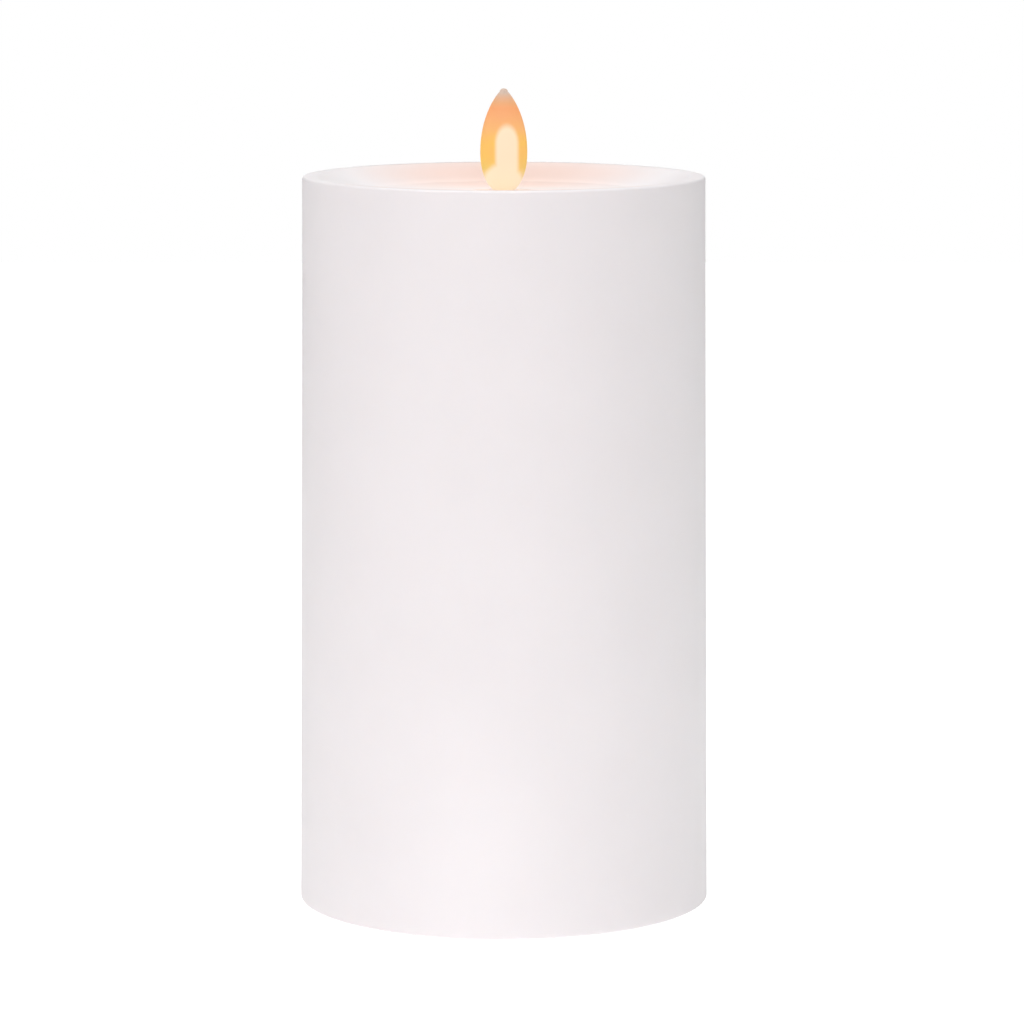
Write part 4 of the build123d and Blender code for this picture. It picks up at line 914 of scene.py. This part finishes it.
@dataclass
class SolderJoints:
    """Beads of solder where the four long leads meet their contacts and the switch's pins."""

    bead_mm: tuple[tuple[float, float], ...] = (
        (0.0, -1.25), (0.42, -1.2), (0.82, -0.85), (1.02, -0.35), (0.98, 0.1), (0.8, 0.55), (0.66, 1.0), (0.0, 1.05),
    )  # fmt: skip
    rounds: int = 20
    reach_mm: float = 0.3

    def lead_foot(self, name: str) -> Vector:
        """Finds where a lead starts.

        Args:
            name: the lead's node.

        Returns:
            The middle of its lowest end.
        """
        spots = [v.co for v in node(name).data.vertices]
        lowest = min(spot.z for spot in spots)
        ends = [spot for spot in spots if spot.z < lowest + self.reach_mm * MM]
        return sum(ends, Vector()) / len(ends)

    def build(self) -> None:
        """Sets one bead on each joint."""
        places = [self.lead_foot(name) for name in ("lead_negative", "lead_positive", "lead_on", "lead_timer")]
        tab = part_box("positive_contact")
        negative = self.lead_foot("lead_negative")
        places.append(Vector(((tab[0].x + tab[1].x) / 2, negative.y, negative.z)))
        shape = bmesh.new()
        for spot in places:
            turn_profile(shape, list(self.bead_mm), self.rounds, Matrix.Translation(spot))
        add_piece("solder_beads", shape, SOLDER)


@dataclass
class Power:
    """The cells, their contacts, the switch and the leads."""

    sleeves: list[ShrunkSleeve] = field(default_factory=lambda: [ShrunkSleeve(cell) for cell in Cell])
    solder: SolderJoints = field(default_factory=SolderJoints)
    pins_over_frame_mm: float = 1.05
    phenolic_reach_mm: float = 20.05

    def build(self) -> None:
        """Lays the finishes on the cells, contacts, switch and leads, and adds the sleeves and the solder."""
        CELL_CAN.dress(node("battery_left"), node("battery_right"))
        for name in ("positive_contact", "negative_contact", "bridge_contact", "contact_springs"):
            NICKEL_STEEL.dress(node(name))
        ZINC_STEEL.dress(node("switch_frame"), node("switch_screws"))
        # Punched phenolic board: dry brown, and its tinned pins begin just over the switch's frame.
        pins_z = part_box("switch_frame")[1].z / MM + self.pins_over_frame_mm
        reach = self.phenolic_reach_mm
        phenolic = PinnedPackage("phenolic board", "5A3418", "6B4222", 2, pins_z - reach, reach)
        phenolic.dress(node("switch_insulator"))
        KNOB_NYLON.dress(node("switch_knob"))
        BLACK_PVC.dress(node("lead_negative"))
        RED_PVC.dress(node("lead_positive"))
        WHITE_PVC.dress(node("lead_on"))
        YELLOW_PVC.dress(node("lead_timer"))
        for sleeve in self.sleeves:
            sleeve.build()
        self.solder.build()


# ---------------------------------------------------------------- studio
@dataclass(frozen=True)
class SoftBox:
    """One large soft light that looks at the candle's middle."""

    name: str
    place: tuple[float, ...]
    size: float
    power: float
    colour: str = "FFFFFF"
    target: tuple[float, ...] = (0.0, 0.0, 0.09)

    def build(self) -> None:
        """Makes the light and turns it to its target."""
        data = bpy.data.lights.new(self.name, "AREA")
        data.shape = "SQUARE"
        data.size = self.size
        data.energy = self.power
        data.color = linear(self.colour)[:3]
        lamp = bpy.data.objects.new(self.name, data)
        bpy.context.scene.collection.objects.link(lamp)
        lamp.location = self.place
        lamp.rotation_mode = "QUATERNION"
        lamp.rotation_quaternion = (Vector(self.target) - Vector(self.place)).to_track_quat("-Z", "Y")
        lamp.visible_camera = False


@dataclass
class Studio:
    """Light table, white backdrop, soft boxes and the camera."""

    table_half: float = 1.5
    surround: float = 0.04
    backdrop: float = 1.0
    camera_place: tuple[float, ...] = (0.00176, -1.0176, 0.2329)
    camera_dip: float = 8.29
    lens: float = 166.9
    sensor: float = 36.0
    boxes: tuple[SoftBox, ...] = (
        SoftBox("front box", (-0.2, -1.6, 0.9), 1.0, 7.2, "FFF3F5"),
        SoftBox("left box", (-1.2, -1.2, 0.9), 1.0, 2.2, "FFF3F5"),
        SoftBox("top box", (0.0, 0.0, 1.1), 1.0, 11.4),
        SoftBox("foot box", (-0.008, -0.085, 0.008), 0.04, 0.0013, target=(-0.006, -0.044, 0.002)),
    )

    def build_table(self) -> None:
        """Lays the light table under the feet."""
        mesh = bpy.data.meshes.new("light table")
        shape = bmesh.new()
        bmesh.ops.create_grid(shape, x_segments=1, y_segments=1, size=self.table_half)
        shape.to_mesh(mesh)
        shape.free()
        table = bpy.data.objects.new("light_table", mesh)
        bpy.context.scene.collection.objects.link(table)
        TABLE.dress(table)

    def build_world(self) -> None:
        """White surroundings that look brighter than they light."""
        world = bpy.data.worlds.new("studio")
        bpy.context.scene.world = world
        world.use_nodes = True
        tree = world.node_tree
        tree.nodes.clear()
        white = linear("FFFFFF")
        seen = add_node(tree, "Background", {"Color": white, "Strength": self.backdrop})
        lighting = add_node(tree, "Background", {"Color": white, "Strength": self.surround})
        from_camera = add_node(tree, "LightPath", {})
        joined = add_node(tree, "MixShader", {0: from_camera, 1: lighting, 2: seen})
        add_node(tree, "OutputWorld", {"Surface": joined})

    def build_camera(self) -> None:
        """A long lens a metre away, a little above the rim and looking down."""
        data = bpy.data.cameras.new("camera")
        data.sensor_width = self.sensor
        data.lens = self.lens
        camera = bpy.data.objects.new("camera", data)
        bpy.context.scene.collection.objects.link(camera)
        camera.location = self.camera_place
        camera.rotation_euler = (math.radians(90 - self.camera_dip), 0, 0)
        bpy.context.scene.camera = camera

    def build(self) -> None:
        """Makes the whole studio."""
        self.build_camera()
        self.build_table()
        self.build_world()
        for box in self.boxes:
            box.build()
        view = bpy.context.scene.view_settings
        view.view_transform = "Standard"
        view.look = "None"


def main() -> None:
    """Builds the studio and each sub-assembly."""
    logging.basicConfig(level=logging.INFO, format="%(name)s: %(message)s")
    for part in (Studio(), Body(), Flame(), Movement(), Power()):
        part.build()
        log.info("built %s", type(part).__name__)


if __name__ == "__main__":
    main()
